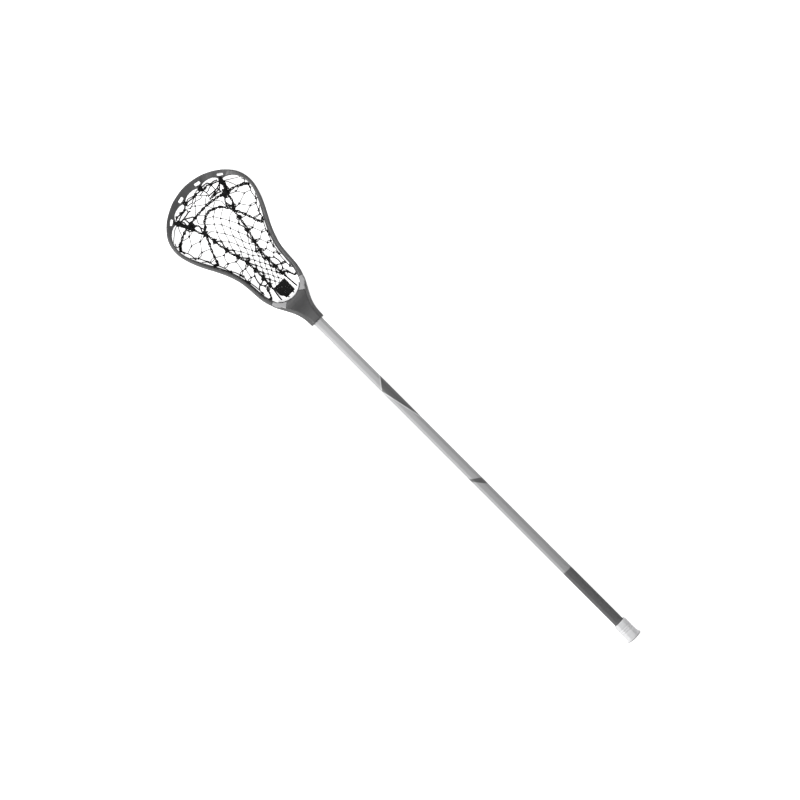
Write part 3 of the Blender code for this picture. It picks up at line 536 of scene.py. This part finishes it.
def cord_look(name, strands, pitch, depth):
    """Twisted or braided cord from the UV map: u is millimetres along, v is turns round."""
    black, rough = 0.0055, 0.75
    look = Look(name, rough, Specular_IOR_Level=0.28)
    u, v, _ = look.split(look.add("ShaderNodeUVMap", uv_map="cord").outputs["UV"])
    turns = look.times(u, 1.0 / pitch)

    def ply(sign):
        total = look.math("ADD", turns, look.times(v, float(sign * strands)))
        return look.math("SINE", look.times(total, 2 * math.pi))

    braid = look.math("MAXIMUM", ply(1), ply(-1))
    height = look.math("ADD", braid, look.times(look.noise(2600.0, 3.0, 0.7), 0.7))
    tone = look.spread(height, -0.4, 1.6)
    faded = look.spread(look.noise(90.0, 3.0), 0.35, 0.75, 0.8, 1.35)
    faded = look.add("ShaderNodeCombineColor", {0: faded, 1: faded, 2: faded}).outputs[0]
    # Painted shade in the grooves between the plies and a painted highlight on their ridges.
    shade = look.blend(tone, grey(black * 0.45), grey(black * 1.7))
    look.colour(look.blend(1.0, shade, faded, "MULTIPLY"))
    look.rough(look.spread(tone, 0.0, 1.0, min(1.0, rough + 0.15), rough - 0.1))
    look.bump(height, depth, 0.9)
    return look.material


def shaft_look():
    """Satin paint over composite: a slanted wedge, a slanted band and a dark gritty grip near the butt."""
    look = Look("shaft_paint", 0.34, Specular_IOR_Level=0.35)
    x, y, _ = look.split()
    h = look.math("SUBTRACT", TIP * MM, x)
    edge_y, soft, grip_from = 0.0094, 0.0006, 0.9273

    def edge(value):
        return look.spread(value, -soft, soft)

    def slanted(at, slope):
        """Distance past a line across the shaft, which is at that h on the -Y edge and slopes towards +Y."""
        line = look.math("ADD", at, look.times(look.math("ADD", y, edge_y), slope))
        return look.math("SUBTRACT", h, line)

    def past(at, slope):
        return edge(slanted(at, slope))

    def before(at, slope):
        return edge(look.times(slanted(at, slope), -1.0))

    wedge = look.times(past(0.4640, 1.30), before(0.5640, -4.6))
    rim = look.times(before(0.5715, -4.6), past(0.4615, 1.30))
    band = look.times(past(0.7115, -0.72), before(0.7270, -1.28))
    grip = edge(look.math("SUBTRACT", h, grip_from))
    weave = look.add("ShaderNodeTexBrick", {"Vector": look.place, "Scale": 260.0, "Mortar Size": 0.004,
                                            "Color1": (0, 0, 0, 1), "Color2": (1, 1, 1, 1)})
    cloud = look.noise(9.0, 5.0)
    flake = look.noise(1500.0, 2.0)
    base = look.blend(look.spread(cloud, 0.35, 0.65), grey(0.405), grey(0.455))
    base = look.blend(look.times(look.spread(flake, 0.55, 0.75), 0.2), base, grey(0.62))
    dark = look.blend(look.spread(weave.outputs["Color"], 0.0, 1.0), grey(0.09), grey(0.115))
    scratch_place = look.add("ShaderNodeMapping", {"Vector": look.place, "Scale": (30.0, 900.0, 900.0)})
    scratch = look.noise(1.0, 2.0, 0.5, scratch_place.outputs["Vector"])
    rubbed = look.times(look.spread(scratch, 0.66, 0.74), 0.35)
    base = look.blend(rubbed, base, grey(0.3))
    # Darker towards the butt.
    base = look.blend(look.spread(h, 0.34, 0.93, 0.0, 0.85), base, grey(0.3))
    painted = look.blend(rim, base, grey(0.6))
    painted = look.blend(look.math("MAXIMUM", wedge, band), painted, grey(0.1))
    look.colour(look.blend(grip, painted, dark))
    grit = look.noise(2400.0, 2.0, 0.7)
    look.rough(look.math("ADD", look.spread(scratch, 0.4, 0.7, 0.28, 0.42), look.times(grip, 0.3)))
    look.bump(look.math("ADD", look.times(grit, grip), look.times(scratch, 0.12)), 0.00012, 0.7)
    return look.material


def rubber_look():
    look = Look("cap_rubber_white", 0.62, Sheen_Weight=0.1)
    cloud = look.noise(60.0, 5.0)
    base = look.blend(look.spread(cloud, 0.35, 0.7), grey(0.68), grey(0.76))
    speck = look.spread(look.noise(520.0, 4.0, 0.7), 0.64, 0.74, 0.0, 0.35)
    h = look.math("SUBTRACT", TIP * MM, look.split()[0])
    base = look.blend(look.spread(h, 1.0890, 1.0908, 0.0, 0.85), base, grey(0.36))  # painted shade on the end's rounded edge
    look.colour(look.blend(speck, base, grey(0.5)))
    look.rough(look.spread(cloud, 0.3, 0.7, 0.55, 0.72))
    look.bump(look.noise(1900.0, 3.0, 0.65), 0.00008, 0.6)
    return look.material


def foam_look():
    look = Look("stop_foam_cells", 0.92, Sheen_Weight=0.15)
    cells = look.add("ShaderNodeTexVoronoi", {"Vector": look.place, "Scale": 1300.0, "Randomness": 1.0})
    # Painted shade in the foam's cell pits: darker towards each pit's centre.
    depth = look.spread(cells.outputs["Distance"], 0.0, 0.6)
    look.colour(look.blend(depth, grey(0.82), grey(0.92)))
    look.bump(depth, 0.00015, 0.8)
    return look.material


def steel_look():
    look = Look("screw_zinc", 0.32, 1.0)
    rings = look.noise(700.0, 4.0)
    look.colour(look.blend(look.spread(rings, 0.3, 0.7), grey(0.42), grey(0.6)))
    look.rough(look.spread(look.noise(300.0, 3.0), 0.3, 0.7, 0.24, 0.42))
    look.bump(rings, 0.00003, 0.5)
    return look.material


def floor_look():
    look = Look("studio_floor", 0.9, Emission_Color=(1.0, 1.0, 1.0, 1.0), Emission_Strength=1.0)
    look.colour(look.blend(look.noise(2.0, 2.0), (0.86, 0.86, 0.86), (0.9, 0.9, 0.9)))
    look.bump(look.noise(300.0, 3.0), 0.0001, 0.1)
    return look.material


# The third value is the paler colour of the painted edge highlight on the edges.
HEAD = plastic("head_nylon", 0.07, 0.2, 0.42)
INLAY = plastic("inlay_nylon", 0.36, 0.6, 0.46)
THICK = cord_look("shooter_cord", 3, 1.9, 0.00022)
THIN = cord_look("mesh_twine", 2, 1.1, 0.00012)
LACE = cord_look("lace_braid", 4, 2.6, 0.0002)


# ---- Head, inlays, ball stop

def moulded(node, name, look, voxel, smoothing, keep=1.0):
    """A CAD solid with its edges rounded as in a mould: remeshed, smoothed, and thinned where it is flat."""
    source = frame["nodes"][node]
    obj = new_object(name, source.data.copy())
    obj.data.materials.clear()
    obj.data.materials.append(look)
    weld = bmesh.new()
    weld.from_mesh(obj.data)
    bmesh.ops.remove_doubles(weld, verts=weld.verts, dist=0.00001)
    weld.to_mesh(obj.data)
    weld.free()
    remesh = obj.modifiers.new("Remesh", "REMESH")
    remesh.mode = "VOXEL"
    remesh.voxel_size = voxel
    remesh.use_smooth_shade = True
    ease = obj.modifiers.new("Smooth", "SMOOTH")
    ease.factor = 0.5
    ease.iterations = smoothing
    if keep < 1:
        thin = obj.modifiers.new("Decimate", "DECIMATE")
        thin.ratio = keep
    apply_modifiers(obj)
    obj.data.shade_smooth()
    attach(obj, "stick")
    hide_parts(node)
    return obj


moulded("head_frame", "head_moulding", HEAD, 0.00065, 5, 0.45)
for word in ("left", "right"):
    moulded(f"corner_inlay_{word}", f"corner_inlay_{word}_soft", INLAY, 0.00022, 2, 0.5)
pad = moulded("ball_stop_pad", "ball_stop_foam", foam_look(), 0.0005, 6)


# ---- Shaft, screw, butt cap

def add_object(bm, name, look, slot, body, *nodes, angle=35):
    bmesh.ops.recalc_face_normals(bm, faces=bm.faces)
    mesh = bpy.data.meshes.new(name)
    bm.to_mesh(mesh)
    bm.free()
    mesh.materials.append(look)
    mesh.shade_smooth()
    mesh.set_sharp_from_angle(angle=math.radians(angle))
    obj = new_object(name, mesh)
    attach(obj, body)
    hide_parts(*nodes)
    return obj


def rounded(corners, radius, steps):
    """A closed outline with each corner replaced by an arc's points."""
    made = []
    n = len(corners)
    for i, corner in enumerate(corners):
        before = (corners[i - 1] - corner).normalized()
        after = (corners[(i + 1) % n] - corner).normalized()
        half = before.angle(after) / 2
        centre = corner + (before + after).normalized() * (radius / math.sin(half))
        reach = radius / math.tan(half)
        start, end = corner + before * reach - centre, corner + after * reach - centre
        turn = start.angle_signed(end)
        made += [centre + Matrix.Rotation(-turn * k / steps, 2) @ start for k in range(steps + 1)]
    return made


SHAFT_WALL, SHAFT_CORNER = 1.7, 1.6
SHAFT_FLAT, SHAFT_SIDE_FLAT = 8.6, 9.4
CAP_WIDTH, CAP_FLANGE, CAP_GAP = 25.4, 3.6, 0.3
shaft_low, shaft_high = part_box("shaft")
shaft_half = (shaft_high - shaft_low) / 2 / MM
shaft_z = (shaft_high.z + shaft_low.z) / 2 / MM


def eight_sided(grow=0.0, parts=1):
    """The shaft's outline about its axis, with its flats cut into parts."""
    w, d = shaft_half.y + grow, shaft_half.z + grow
    f, s = SHAFT_FLAT / 2 + grow * 0.41, SHAFT_SIDE_FLAT / 2 + grow * 0.41
    corners = [Vector(c) for c in ((f, d), (w, s), (w, -s), (f, -d), (-f, -d), (-w, -s), (-w, s), (-f, d))]
    outline = rounded(corners, SHAFT_CORNER, 6)
    made = []
    for a, b in zip(outline, outline[1:] + outline[:1]):
        pieces = parts if (b - a).length > 3 else 1
        made += [a.lerp(b, k / pieces) for k in range(pieces)]
    return made


def skin(bm, rows, around=False):
    """Faces from each ring of vertices to the next, then round to the first ring or over both ends."""
    for a, b in zip(rows, rows[1:] + rows[:1] if around else rows[1:]):
        for k in range(len(a)):
            q = (k + 1) % len(a)
            bm.faces.new((a[k], a[q], b[q], b[k]))
    if not around:
        bm.faces.new(rows[0])
        bm.faces.new(rows[-1])


def lathe(stations, around=False):
    """A skin over (outline, h) stations of equal point counts, along the shaft's axis."""
    bm = bmesh.new()
    rows = [[bm.verts.new(place(h, p.x, shaft_z + p.y)) for p in outline] for outline, h in stations]
    skin(bm, rows, around)
    return bm


def scaled(outline, share):
    return [p * share for p in outline]


def make_shaft():
    start, end = TIP - shaft_high.x / MM, TIP - shaft_low.x / MM
    outer, inner = eight_sided(), eight_sided(-SHAFT_WALL)
    eased = scaled(outer, 0.975)
    steps = 40
    body = [(outer, start + 0.5 + (end - start - 1.0) * k / steps) for k in range(steps + 1)]
    tube = lathe([(eased, start)] + body + [(eased, end), (inner, end), (inner, start)], around=True)
    add_object(tube, "shaft_tube", shaft_look(), "shaft_composite", "stick", "shaft")


def make_cap():
    low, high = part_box("butt_cap")
    start, end = TIP - high.x / MM, TIP - low.x / MM
    flange_radius = (high.z - low.z) / 2 / MM
    body = scaled(eight_sided(0, 5), CAP_WIDTH / (2 * shaft_half.y))
    cavity = eight_sided(CAP_GAP, 5)
    circle = [p.normalized() * flange_radius for p in body]

    def rounder(share, size=1.0):
        """The body's outline, that share of the way to the flange's circle."""
        return [a.lerp(b, share) * size for a, b in zip(body, circle)]

    neck = end - CAP_FLANGE
    stations = [(cavity, end - 3.2), (cavity, start + 0.8), (scaled(cavity, 1.03), start)]
    stations += [(scaled(body, size), start + at) for size, at in ((0.955, 0), (0.982, 0.25), (0.996, 0.8))]
    stations += [(body, start + 1.6), (body, start + 9.0)]
    for k in range(3):  # shallow grip grooves
        at = start + 11.0 + 4.2 * k
        groove = scaled(body, 0.965)
        stations += [(body, at), (groove, at + 0.5), (groove, at + 1.1), (body, at + 1.6)]
    for share, size, at in ((0.05, 1, -9.5), (0.3, 1, -2.6), (0.72, 1, -0.7), (1, 0.985, -0.1), (1, 1, 0.5)):
        stations.append((rounder(share, size), neck + at))
    for size, at in ((1, 1.9), (0.985, 1.1), (0.945, 0.45), (0.88, 0.1), (0.8, 0),
                     (0.45, 0), (0.42, 0.5), (0.1, 0.5)):
        stations.append((rounder(1, size), end - at))
    add_object(lathe(stations), "butt_cap_rubber", rubber_look(), "cap_rubber", "cap", "butt_cap", angle=50)


def make_screw():
    """A pan-head screw with a cross recess, seen from below in the collar's recess."""
    low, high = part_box("throat_screw")
    centre = (low + high) / 2
    sides = 32
    r = (high.x - low.x) / 2
    head = 0.0022
    profile = [(0.28, 0), (0.72, 0.0001), (0.9, 0.00035), (1, 0.0009), (1, head - 0.0001), (0.55, head)]
    shank = high.z - low.z
    for k in range(10):
        profile.append((0.55 if k % 2 else 0.44, head + (shank - 0.0035) * (k + 1) / 11))
    profile += [(0.3, shank - 0.0006), (0.05, shank)]
    turns = [2 * math.pi * k / sides for k in range(sides)]
    bm = bmesh.new()
    rows = [[bm.verts.new((centre.x + a * r * math.cos(turn), centre.y + a * r * math.sin(turn), low.z + z))
             for turn in turns] for a, z in profile]
    skin(bm, rows)
    obj = add_object(bm, "throat_screw_steel", steel_look(), "screw_steel", "stick", "throat_screw")
    cross = bmesh.new()
    for turn in (0, math.pi / 2):
        box = bmesh.ops.create_cube(cross, size=1.0)["verts"]
        shape = (Matrix.Translation((centre.x, centre.y, low.z)) @ Matrix.Rotation(turn, 4, "Z")
                 @ Matrix.Diagonal((r * 1.05, r * 0.26, 0.0024, 1.0)))
        bmesh.ops.transform(cross, matrix=shape, verts=box)
    mesh = bpy.data.meshes.new("cross")
    cross.to_mesh(mesh)
    cross.free()
    tool = new_object("cross", mesh)
    cut = obj.modifiers.new("Cross", "BOOLEAN")
    cut.object = tool
    cut.solver = "EXACT"
    cut.use_self = True
    apply_modifiers(obj)
    bpy.data.objects.remove(tool)


make_shaft()
make_cap()
make_screw()

# ---- Pocket

def lines_on_net(points, side, lift, per_span=5):
    return catmull([on_net(h, side * a, lift) for h, a in points], per_span)


def crossings(cords):
    """The points that more than one of the cords pass through."""
    met = {}
    for points in cords:
        for p in points:
            met[p] = met.get(p, 0) + 1
    return [p for p, count in met.items() if count > 1]


def runner_at(h, side, lift=0.0, shift=0.0):
    return on_net(h, side * (smooth(RUNNERS[side], h) - shift), lift)


def string_at(h, side, lift=0.0):
    return on_net(h, side * smooth(WALL_STRINGS[side], h), lift)


def finish_cords(yarn, name, look, node):
    obj = yarn.build(name, look)
    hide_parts(node)


def make_runner(side, word):
    """A runner: a wrapped head, then twisted cords with a knot at each net row and loops to the channel."""
    yarn = Yarn()
    head = [runner_at(h, side, 1.6) for h in (36, 40, 44, 48, 51)]
    yarn.twist(head, 1.3, 1.7, 10.0, strands=3)
    beside = [runner_at(h, side, 1.2, shift) for h, shift in ((37, -2.6), (42, -3.4), (47, -2.4), (52, -3.5))]
    yarn.twist(catmull(beside, 3), 0.95, 1.0, 7.0)
    for n, (h, shift) in enumerate(((51.5, -1.5), (53, 3.4), (55.5, -3.0), (57, 4.2), (58.5, 0.6))):
        yarn.knot(runner_at(h, side, 1.4, shift), 5.6, 1.3, seed=30 + 3 * n + side)
    for points in INNER_LEGS[side]:
        yarn.twist(lines_on_net(points, side, 0.8), 0.75, 0.8, 6.0)
    main = [runner_at(h, side, 0.3) for h in range(54, 229, 3)]
    yarn.twist(main, 1.0, 1.3, 12.0, flat=0.8)
    yarn.tube([runner_at(h, side, 0.6, 1.7 * math.sin(h * 0.31 + side)) for h in range(58, 226, 3)], 0.85)
    for i, h in enumerate(RUNNER_KNOTS):
        near = [runner_at(h + d, side, 0.4) for d in (-2.8, -1.0, 1.0, 2.8)]
        yarn.twist(near, 0.75, 2.3, 1.55, strands=1, sides=5)
        size = 5.0 if h in (80, 165) else 3.7
        yarn.knot(runner_at(h - 1.0, side, 1.2, 1.8), size, 1.0, seed=40 + 2 * i + side)
        yarn.knot(runner_at(h + 1.4, side, 0.9, -1.8), size * 0.9, 0.95, seed=60 + 2 * i + side)
    for top, h, a, bottom in LOOPS[side]:
        tip = on_net(h, side * a, 0.4)
        down = runner_at(top * 0.6 + h * 0.4, side, 0.5, 2.6)
        back = runner_at(bottom * 0.55 + h * 0.45, side, 0.5, 3.0)
        ends = runner_at(top + 1, side, 0.6, 1.0), runner_at(bottom - 1, side, 0.6, 1.2)
        yarn.twist(catmull([ends[0], down, tip, back, ends[1]], 6), 0.68, 0.75, 5.0)
        yarn.knot(tip, 2.2, 0.68, seed=80 + h + side)
    finish_cords(yarn, f"runner_{word}_strung", THICK, f"runner_{word}")


def make_channel():
    """The knotted diamond mesh between the runners. A row's nodes tie to the next row's nodes beside them."""
    yarn = Yarn()
    rows = [{len(nodes) - 1 - 2 * k: Vector(on_net(*node)) for k, node in enumerate(nodes)}
            for nodes in CHANNEL_ROWS]
    for row, following in zip(rows, rows[1:]):
        for i, start in row.items():
            for end in (following.get(i + 1), following.get(i - 1)):
                if end is None:
                    continue
                bow = (random.uniform(-0.3, 0.3), random.uniform(-0.9, 0.9), -0.2)
                yarn.twist(sagged(start, end, bow, 6), 0.4, 0.36, 3.0, sides=5)
    for j, row in enumerate(rows[:-1]):
        for i, p in row.items():
            yarn.knot(p, 1.75 if j > 8 else 1.4, 0.52, seed=i * 31 + j)
    for points in CHANNEL_CORDS:
        yarn.twist(lines_on_net(points, 1, 0.6), 0.4, 0.36, 3.0, sides=5)
    for n, p in enumerate(crossings(CHANNEL_CORDS)):
        yarn.knot(on_net(*p, 0.6), 1.5, 0.52, seed=150 + n)
    finish_cords(yarn, "channel_net", THIN, "channel_mesh")


def make_wing(side, word):
    """The side net: slack cords between the runner and the wall's string, tied where they meet."""
    yarn = Yarn()
    for points in WINGS[side]:
        thick = 0.72 if 199 < points[-1][0] < 216 else 0.44
        yarn.twist(lines_on_net(points, side, 0.3, 4), thick, thick * 0.85, 4.0, sides=5)
    for n, (h, a) in enumerate(crossings(WINGS[side])):
        yarn.knot(on_net(h, side * a, 0.5), 1.9, 0.6, seed=200 + n)
    finish_cords(yarn, f"wing_net_{word}", THIN, f"wing_mesh_{word}")


def make_side_string(side, word):
    """The string along a wall, tied to the rail's holes and stitched between two pairs of them outside."""
    yarn = Yarn()
    yarn.twist([string_at(71 + 2.2 * k, side) for k in range(71)], 0.58, 0.52, 4.6)
    for k, near in STRING_TIES.items():
        hole = hole_path(k, side, 0.6, -1.0, 0.3 - FOOT_WIDTH)
        yarn.knot(string_at(near, side, 0.3), 2.3, 0.66, seed=300 + k)
        yarn.tube([string_at(near, side)] + hole, 0.7)
        yarn.tube([string_at(near + 1.8, side, 0.5), hole[0], hole[1]], 0.6)
    outside = 0.75
    for k in (5, 7):
        ends = [hole_path(q, side, 1.4 - FOOT_WIDTH, 0.1 - FOOT_WIDTH, -outside - FOOT_WIDTH)
                for q in (k, k + 1)]
        run = []
        for s in range(1, 6):
            p, inward = outline_at(HOLE_FROM + HOLE_PITCH * (k + s / 6), side)
            out = smooth(FOOT, p.x) - FOOT_WIDTH - outside
            run.append((*(p + inward * out), smooth(BOTTOM_RAIL, p.x) + HOLE_HEIGHT))
        yarn.tube(catmull(ends[0] + run + ends[1][::-1], 3), 0.6)
    finish_cords(yarn, f"sidewall_string_{word}_laced", THIN, f"sidewall_string_{word}")


def shooter_line(halves):
    """A shooting string's path over the net, raised where it crosses a runner."""
    line = []
    for h, a in catmull(halves[1] + [(h, -a) for h, a in reversed(halves[-1])], 6):
        near = abs(a) - smooth(RUNNERS[1 if a > 0 else -1], h)
        line.append((h, a, pocket_z(h, a) + 1.8 + 1.9 * math.exp(-((near / 6) ** 2))))
    return line


def make_shooters():
    """The two thick strings across the pocket. Their ends go through a pair of the rail's holes."""
    for word, halves, hole in (("straight", STRAIGHT, 1), ("u", U_STRING, 4)):
        yarn = Yarn()
        line = shooter_line(halves)
        start, end = hole_path(hole, 1, -2.0, 0.5, 2.0), hole_path(hole, -1, 2.0, 0.5, -2.0)
        whole = catmull(start + line[3:-3:3] + end, 3)
        yarn.twist(whole, 1.05, 1.65, 21.0, sides=8, taper=0.5, flat=0.6, start=0.6)
        yarn.twist(whole[5:-5], 0.6, 1.0, 9.0, flat=0.7, start=1.9)
        if hole == 1:
            for side, ends in ((1, whole[6:14]), (-1, whole[-14:-6])):
                yarn.twist(ends, 1.0, 2.2, 13.0, strands=3, flat=0.6)
                second = hole_path(0, side, 1.0)[0]
                root = ends[-1] if side > 0 else ends[0]
                face = (62.6, side * (inner_side(62.6) - 0.9), pocket_z(62.6, 84))
                yarn.tube(catmull([root, face, (second[0] + 3, second[1], second[2])], 6), 0.9)
        for n, share in enumerate((0.09, 0.2, 0.31, 0.42, 0.5, 0.58, 0.7, 0.8, 0.91)):
            h, a, z = whole[int(share * (len(whole) - 1))]
            yarn.knot((h, a, z - 0.9), 2.8, 0.78, seed=400 + n)
        finish_cords(yarn, f"shooting_string_{word}_twist", THICK, f"shooting_string_{word}")


def on_top_line(h, side, lift=0.0):
    return (h, side, 33.3 + lift - 0.036 * abs(side))


def make_top_string():
    yarn = Yarn()
    yarn.twist(catmull([on_top_line(*p) for p in TOP_LINES[0]], 5), 0.75, 0.72, 5.6)
    for points in TOP_LINES[1:]:
        yarn.twist(catmull([on_net(h, side, 1.2) for h, side in points], 5), 0.56, 0.5, 4.4)
    for n, k in enumerate((1, 3, 5, 11, 12, 15, 16, 19)):
        yarn.knot(on_top_line(*TOP_LINES[0][k], 0.3), 2.7, 0.78, seed=500 + n)
    finish_cords(yarn, "top_string_twist", THICK, "top_string")


def make_lashings():
    """A doubled ring through each slot and round its tongue, a knotted bundle at its edge, and loose ends."""
    for side, word in SIDES:
        for where, (reach, lip, slot) in TONGUES.items():
            point, inward = outline_at(reach, side)
            across = Vector((-inward.y, inward.x))
            over = lip - SCOOP_DROP

            def at(depth, beside, rise):
                p = point + inward * (slot + depth) + across * beside
                return (p.x, p.y, over + rise)

            yarn = Yarn()
            for beside, far in ((-1.1, 12.0), (1.0, 12.6)):
                ring = [(3.4, 0.4), (4.0, 2.4), (6.6, 2.0), (9.2, 1.1), (far, -1.6), (10.0, -4.4),
                        (7.0, -5.2), (4.2, -4.6), (3.3, -2.2)]
                ring = catmull([at(depth, beside, rise) for depth, rise in ring], 5, closed=True)
                yarn.tube(ring, 0.92, 7, closed=True)
            wrap = [at(8.8, -2.6, -0.6), at(11.5, 0.0, -0.2), at(12.5, 2.8, -1.4)]
            yarn.twist(wrap, 1.15, 1.25, 7.0, strands=3)
            yarn.knot(at(10.4, 0.6, 0.2), 4.4, 1.15, seed=600 + int(reach) + side)
            if where == "outer":
                end = runner_at(43, side, 1.6)
                between = tuple(Vector(end).lerp(at(13, 0, -2.4), 0.4))
                bundle = catmull([at(9.5, 0.6, -1.2), at(12.5, 0, -2.2), between, end], 3)
                yarn.twist(bundle, 1.35, 2.2, 15.0, strands=4, flat=0.75)
                yarn.knot(at(13.5, -1.0, -1.6), 4.2, 1.05, seed=640 + side)
            for points in LACE_ENDS[word, where]:
                yarn.twist(catmull([on_net(h, a, 2.4) for h, a in points], 5), 0.72, 0.72, 6.0)
            finish_cords(yarn, f"scoop_lashing_{word}_{where}_tied", LACE, f"scoop_lashing_{word}_{where}")


def make_bottom_laces():
    for side, word in SIDES:
        wall = stop_hole(37 * side, 31.0, 34.5, 37.0)
        rail = hole_path(HOLE_COUNT - 1, side, 1.2, -1.5, -4.0)
        for where, ends in (("inner", wall), ("outer", rail)):
            path = [on_net(h, side * a, 0.3) for h, a in BOTTOM_LACES[side, where]] + ends
            yarn = Yarn()
            line = catmull(path, 5)
            if where == "inner":
                yarn.twist(line, 0.8, 0.8, 5.4, taper=0.4)
            else:
                yarn.twist(line, 0.95, 0.95, 8.0, taper=0.3, flat=0.8)
                yarn.knot(line[7], 3.0, 0.85, seed=700 + side)
            yarn.knot(Vector(line[-11]) + Vector((0, 0, 0.4)), 2.2, 0.7, seed=702 + side)
            finish_cords(yarn, f"bottom_lace_{word}_{where}_tied", LACE, f"bottom_lace_{word}_{where}")


def make_weave():
    """The woven patch: cords over and under each other, tied to the ball stop's wall."""
    yarn = Yarn()
    columns, lines = 15, 14
    lift, cord = 0.62, 0.9
    heights = [WEAVE_FROM + (WEAVE_TO - WEAVE_FROM) * (r + 0.5) / lines for r in range(lines)]

    def spot(h, share, sign):
        side = smooth(WEAVE_RIGHT, h) * (1 - share) + smooth(WEAVE_LEFT, h) * share
        jitter = (random.uniform(-0.3, 0.3), random.uniform(-0.3, 0.3))
        return (h + jitter[0], side + jitter[1], pocket_z(h, 0) + 0.2 + sign * lift)

    for c in range(columns):
        share = c / (columns - 1)
        path = [spot(WEAVE_FROM - 0.9, share, 0)]
        path += [spot(h, share, 1 if (c + r) % 2 else -1) for r, h in enumerate(heights)]
        path += [spot(WEAVE_TO + 0.9, share, 0)]
        yarn.tube(catmull(path, 3), cord)
    for r, h in enumerate(heights):
        path = [spot(h, -0.035, 0)]
        path += [spot(h, c / (columns - 1), -1 if (c + r) % 2 else 1) for c in range(columns)]
        path += [spot(h, 1.035, 0)]
        yarn.tube(catmull(path, 3), cord)
    for degrees, side in ((10, 5.6), (-10, -5.6)):
        wall = stop_hole(degrees, 32.0, 35.0, 37.5)
        start = (WEAVE_TO - 1.0, side, pocket_z(WEAVE_TO, 0) + 1.4)
        middle = (WEAVE_TO + 3.4, side * 1.02, pocket_z(WEAVE_TO, 0) + 0.2)
        yarn.twist(catmull([start, middle, *wall], 4), 0.7, 0.66, 4.0)
        yarn.knot(start, 2.2, 0.7, seed=int(800 + side))
    finish_cords(yarn, "pocket_weave_woven", THICK, "pocket_weave")


for side, word in SIDES:
    make_runner(side, word)
    make_wing(side, word)
    make_side_string(side, word)
make_channel()
make_shooters()
make_top_string()
make_lashings()
make_bottom_laces()
make_weave()


# ---- Stage, light, camera

def make_stage():
    half, drop = 40.0, 0.0002
    corners = [(x * half, y * half, -drop) for x, y in ((-1, -1), (1, -1), (1, 1), (-1, 1))]
    mesh = bpy.data.meshes.new("floor")
    mesh.from_pydata(corners, [], [(0, 1, 2, 3)])
    mesh.materials.append(floor_look())
    floor = new_object("floor", mesh)


def area_light(name, size, power, at, target):
    light = bpy.data.lights.new(name, "AREA")
    light.size = size
    light.energy = power
    obj = new_object(name, light)
    obj.location = at
    obj.rotation_euler = (Vector(target) - Vector(at)).to_track_quat("-Z", "Y").to_euler()


VIEW_WIDTH = 1.3689  # metres across the picture at the height of VIEW_LEVEL
VIEW_LEVEL = 0.03
VIEW_CENTRE = (0.0278, -0.0036)
LENS, SENSOR = 100.0, 36.0


def make_camera():
    data = bpy.data.cameras.new("camera")
    data.lens = LENS
    data.sensor_width = SENSOR
    data.clip_end = 50.0
    camera = new_object("camera", data)
    camera.location = (*VIEW_CENTRE, VIEW_WIDTH * LENS / SENSOR + VIEW_LEVEL)
    camera.rotation_euler = (0, 0, math.radians(-135))
    bpy.context.scene.camera = camera


def make_world(strength):
    world = bpy.data.worlds.new("studio")
    world.use_nodes = True
    world.node_tree.nodes["Background"].inputs["Color"].default_value = (1, 1, 1, 1)
    world.node_tree.nodes["Background"].inputs["Strength"].default_value = strength
    bpy.context.scene.world = world


make_stage()
area_light("key", 1.2, 54, (0.5, 1.0, 2.0), (0.1, 0, 0))
area_light("rim", 0.8, 2.4, (0.3, 1.8, 0.55), (0.15, 0, 0))
make_world(0.16)
bpy.context.scene.view_settings.view_transform = "Standard"
make_camera()
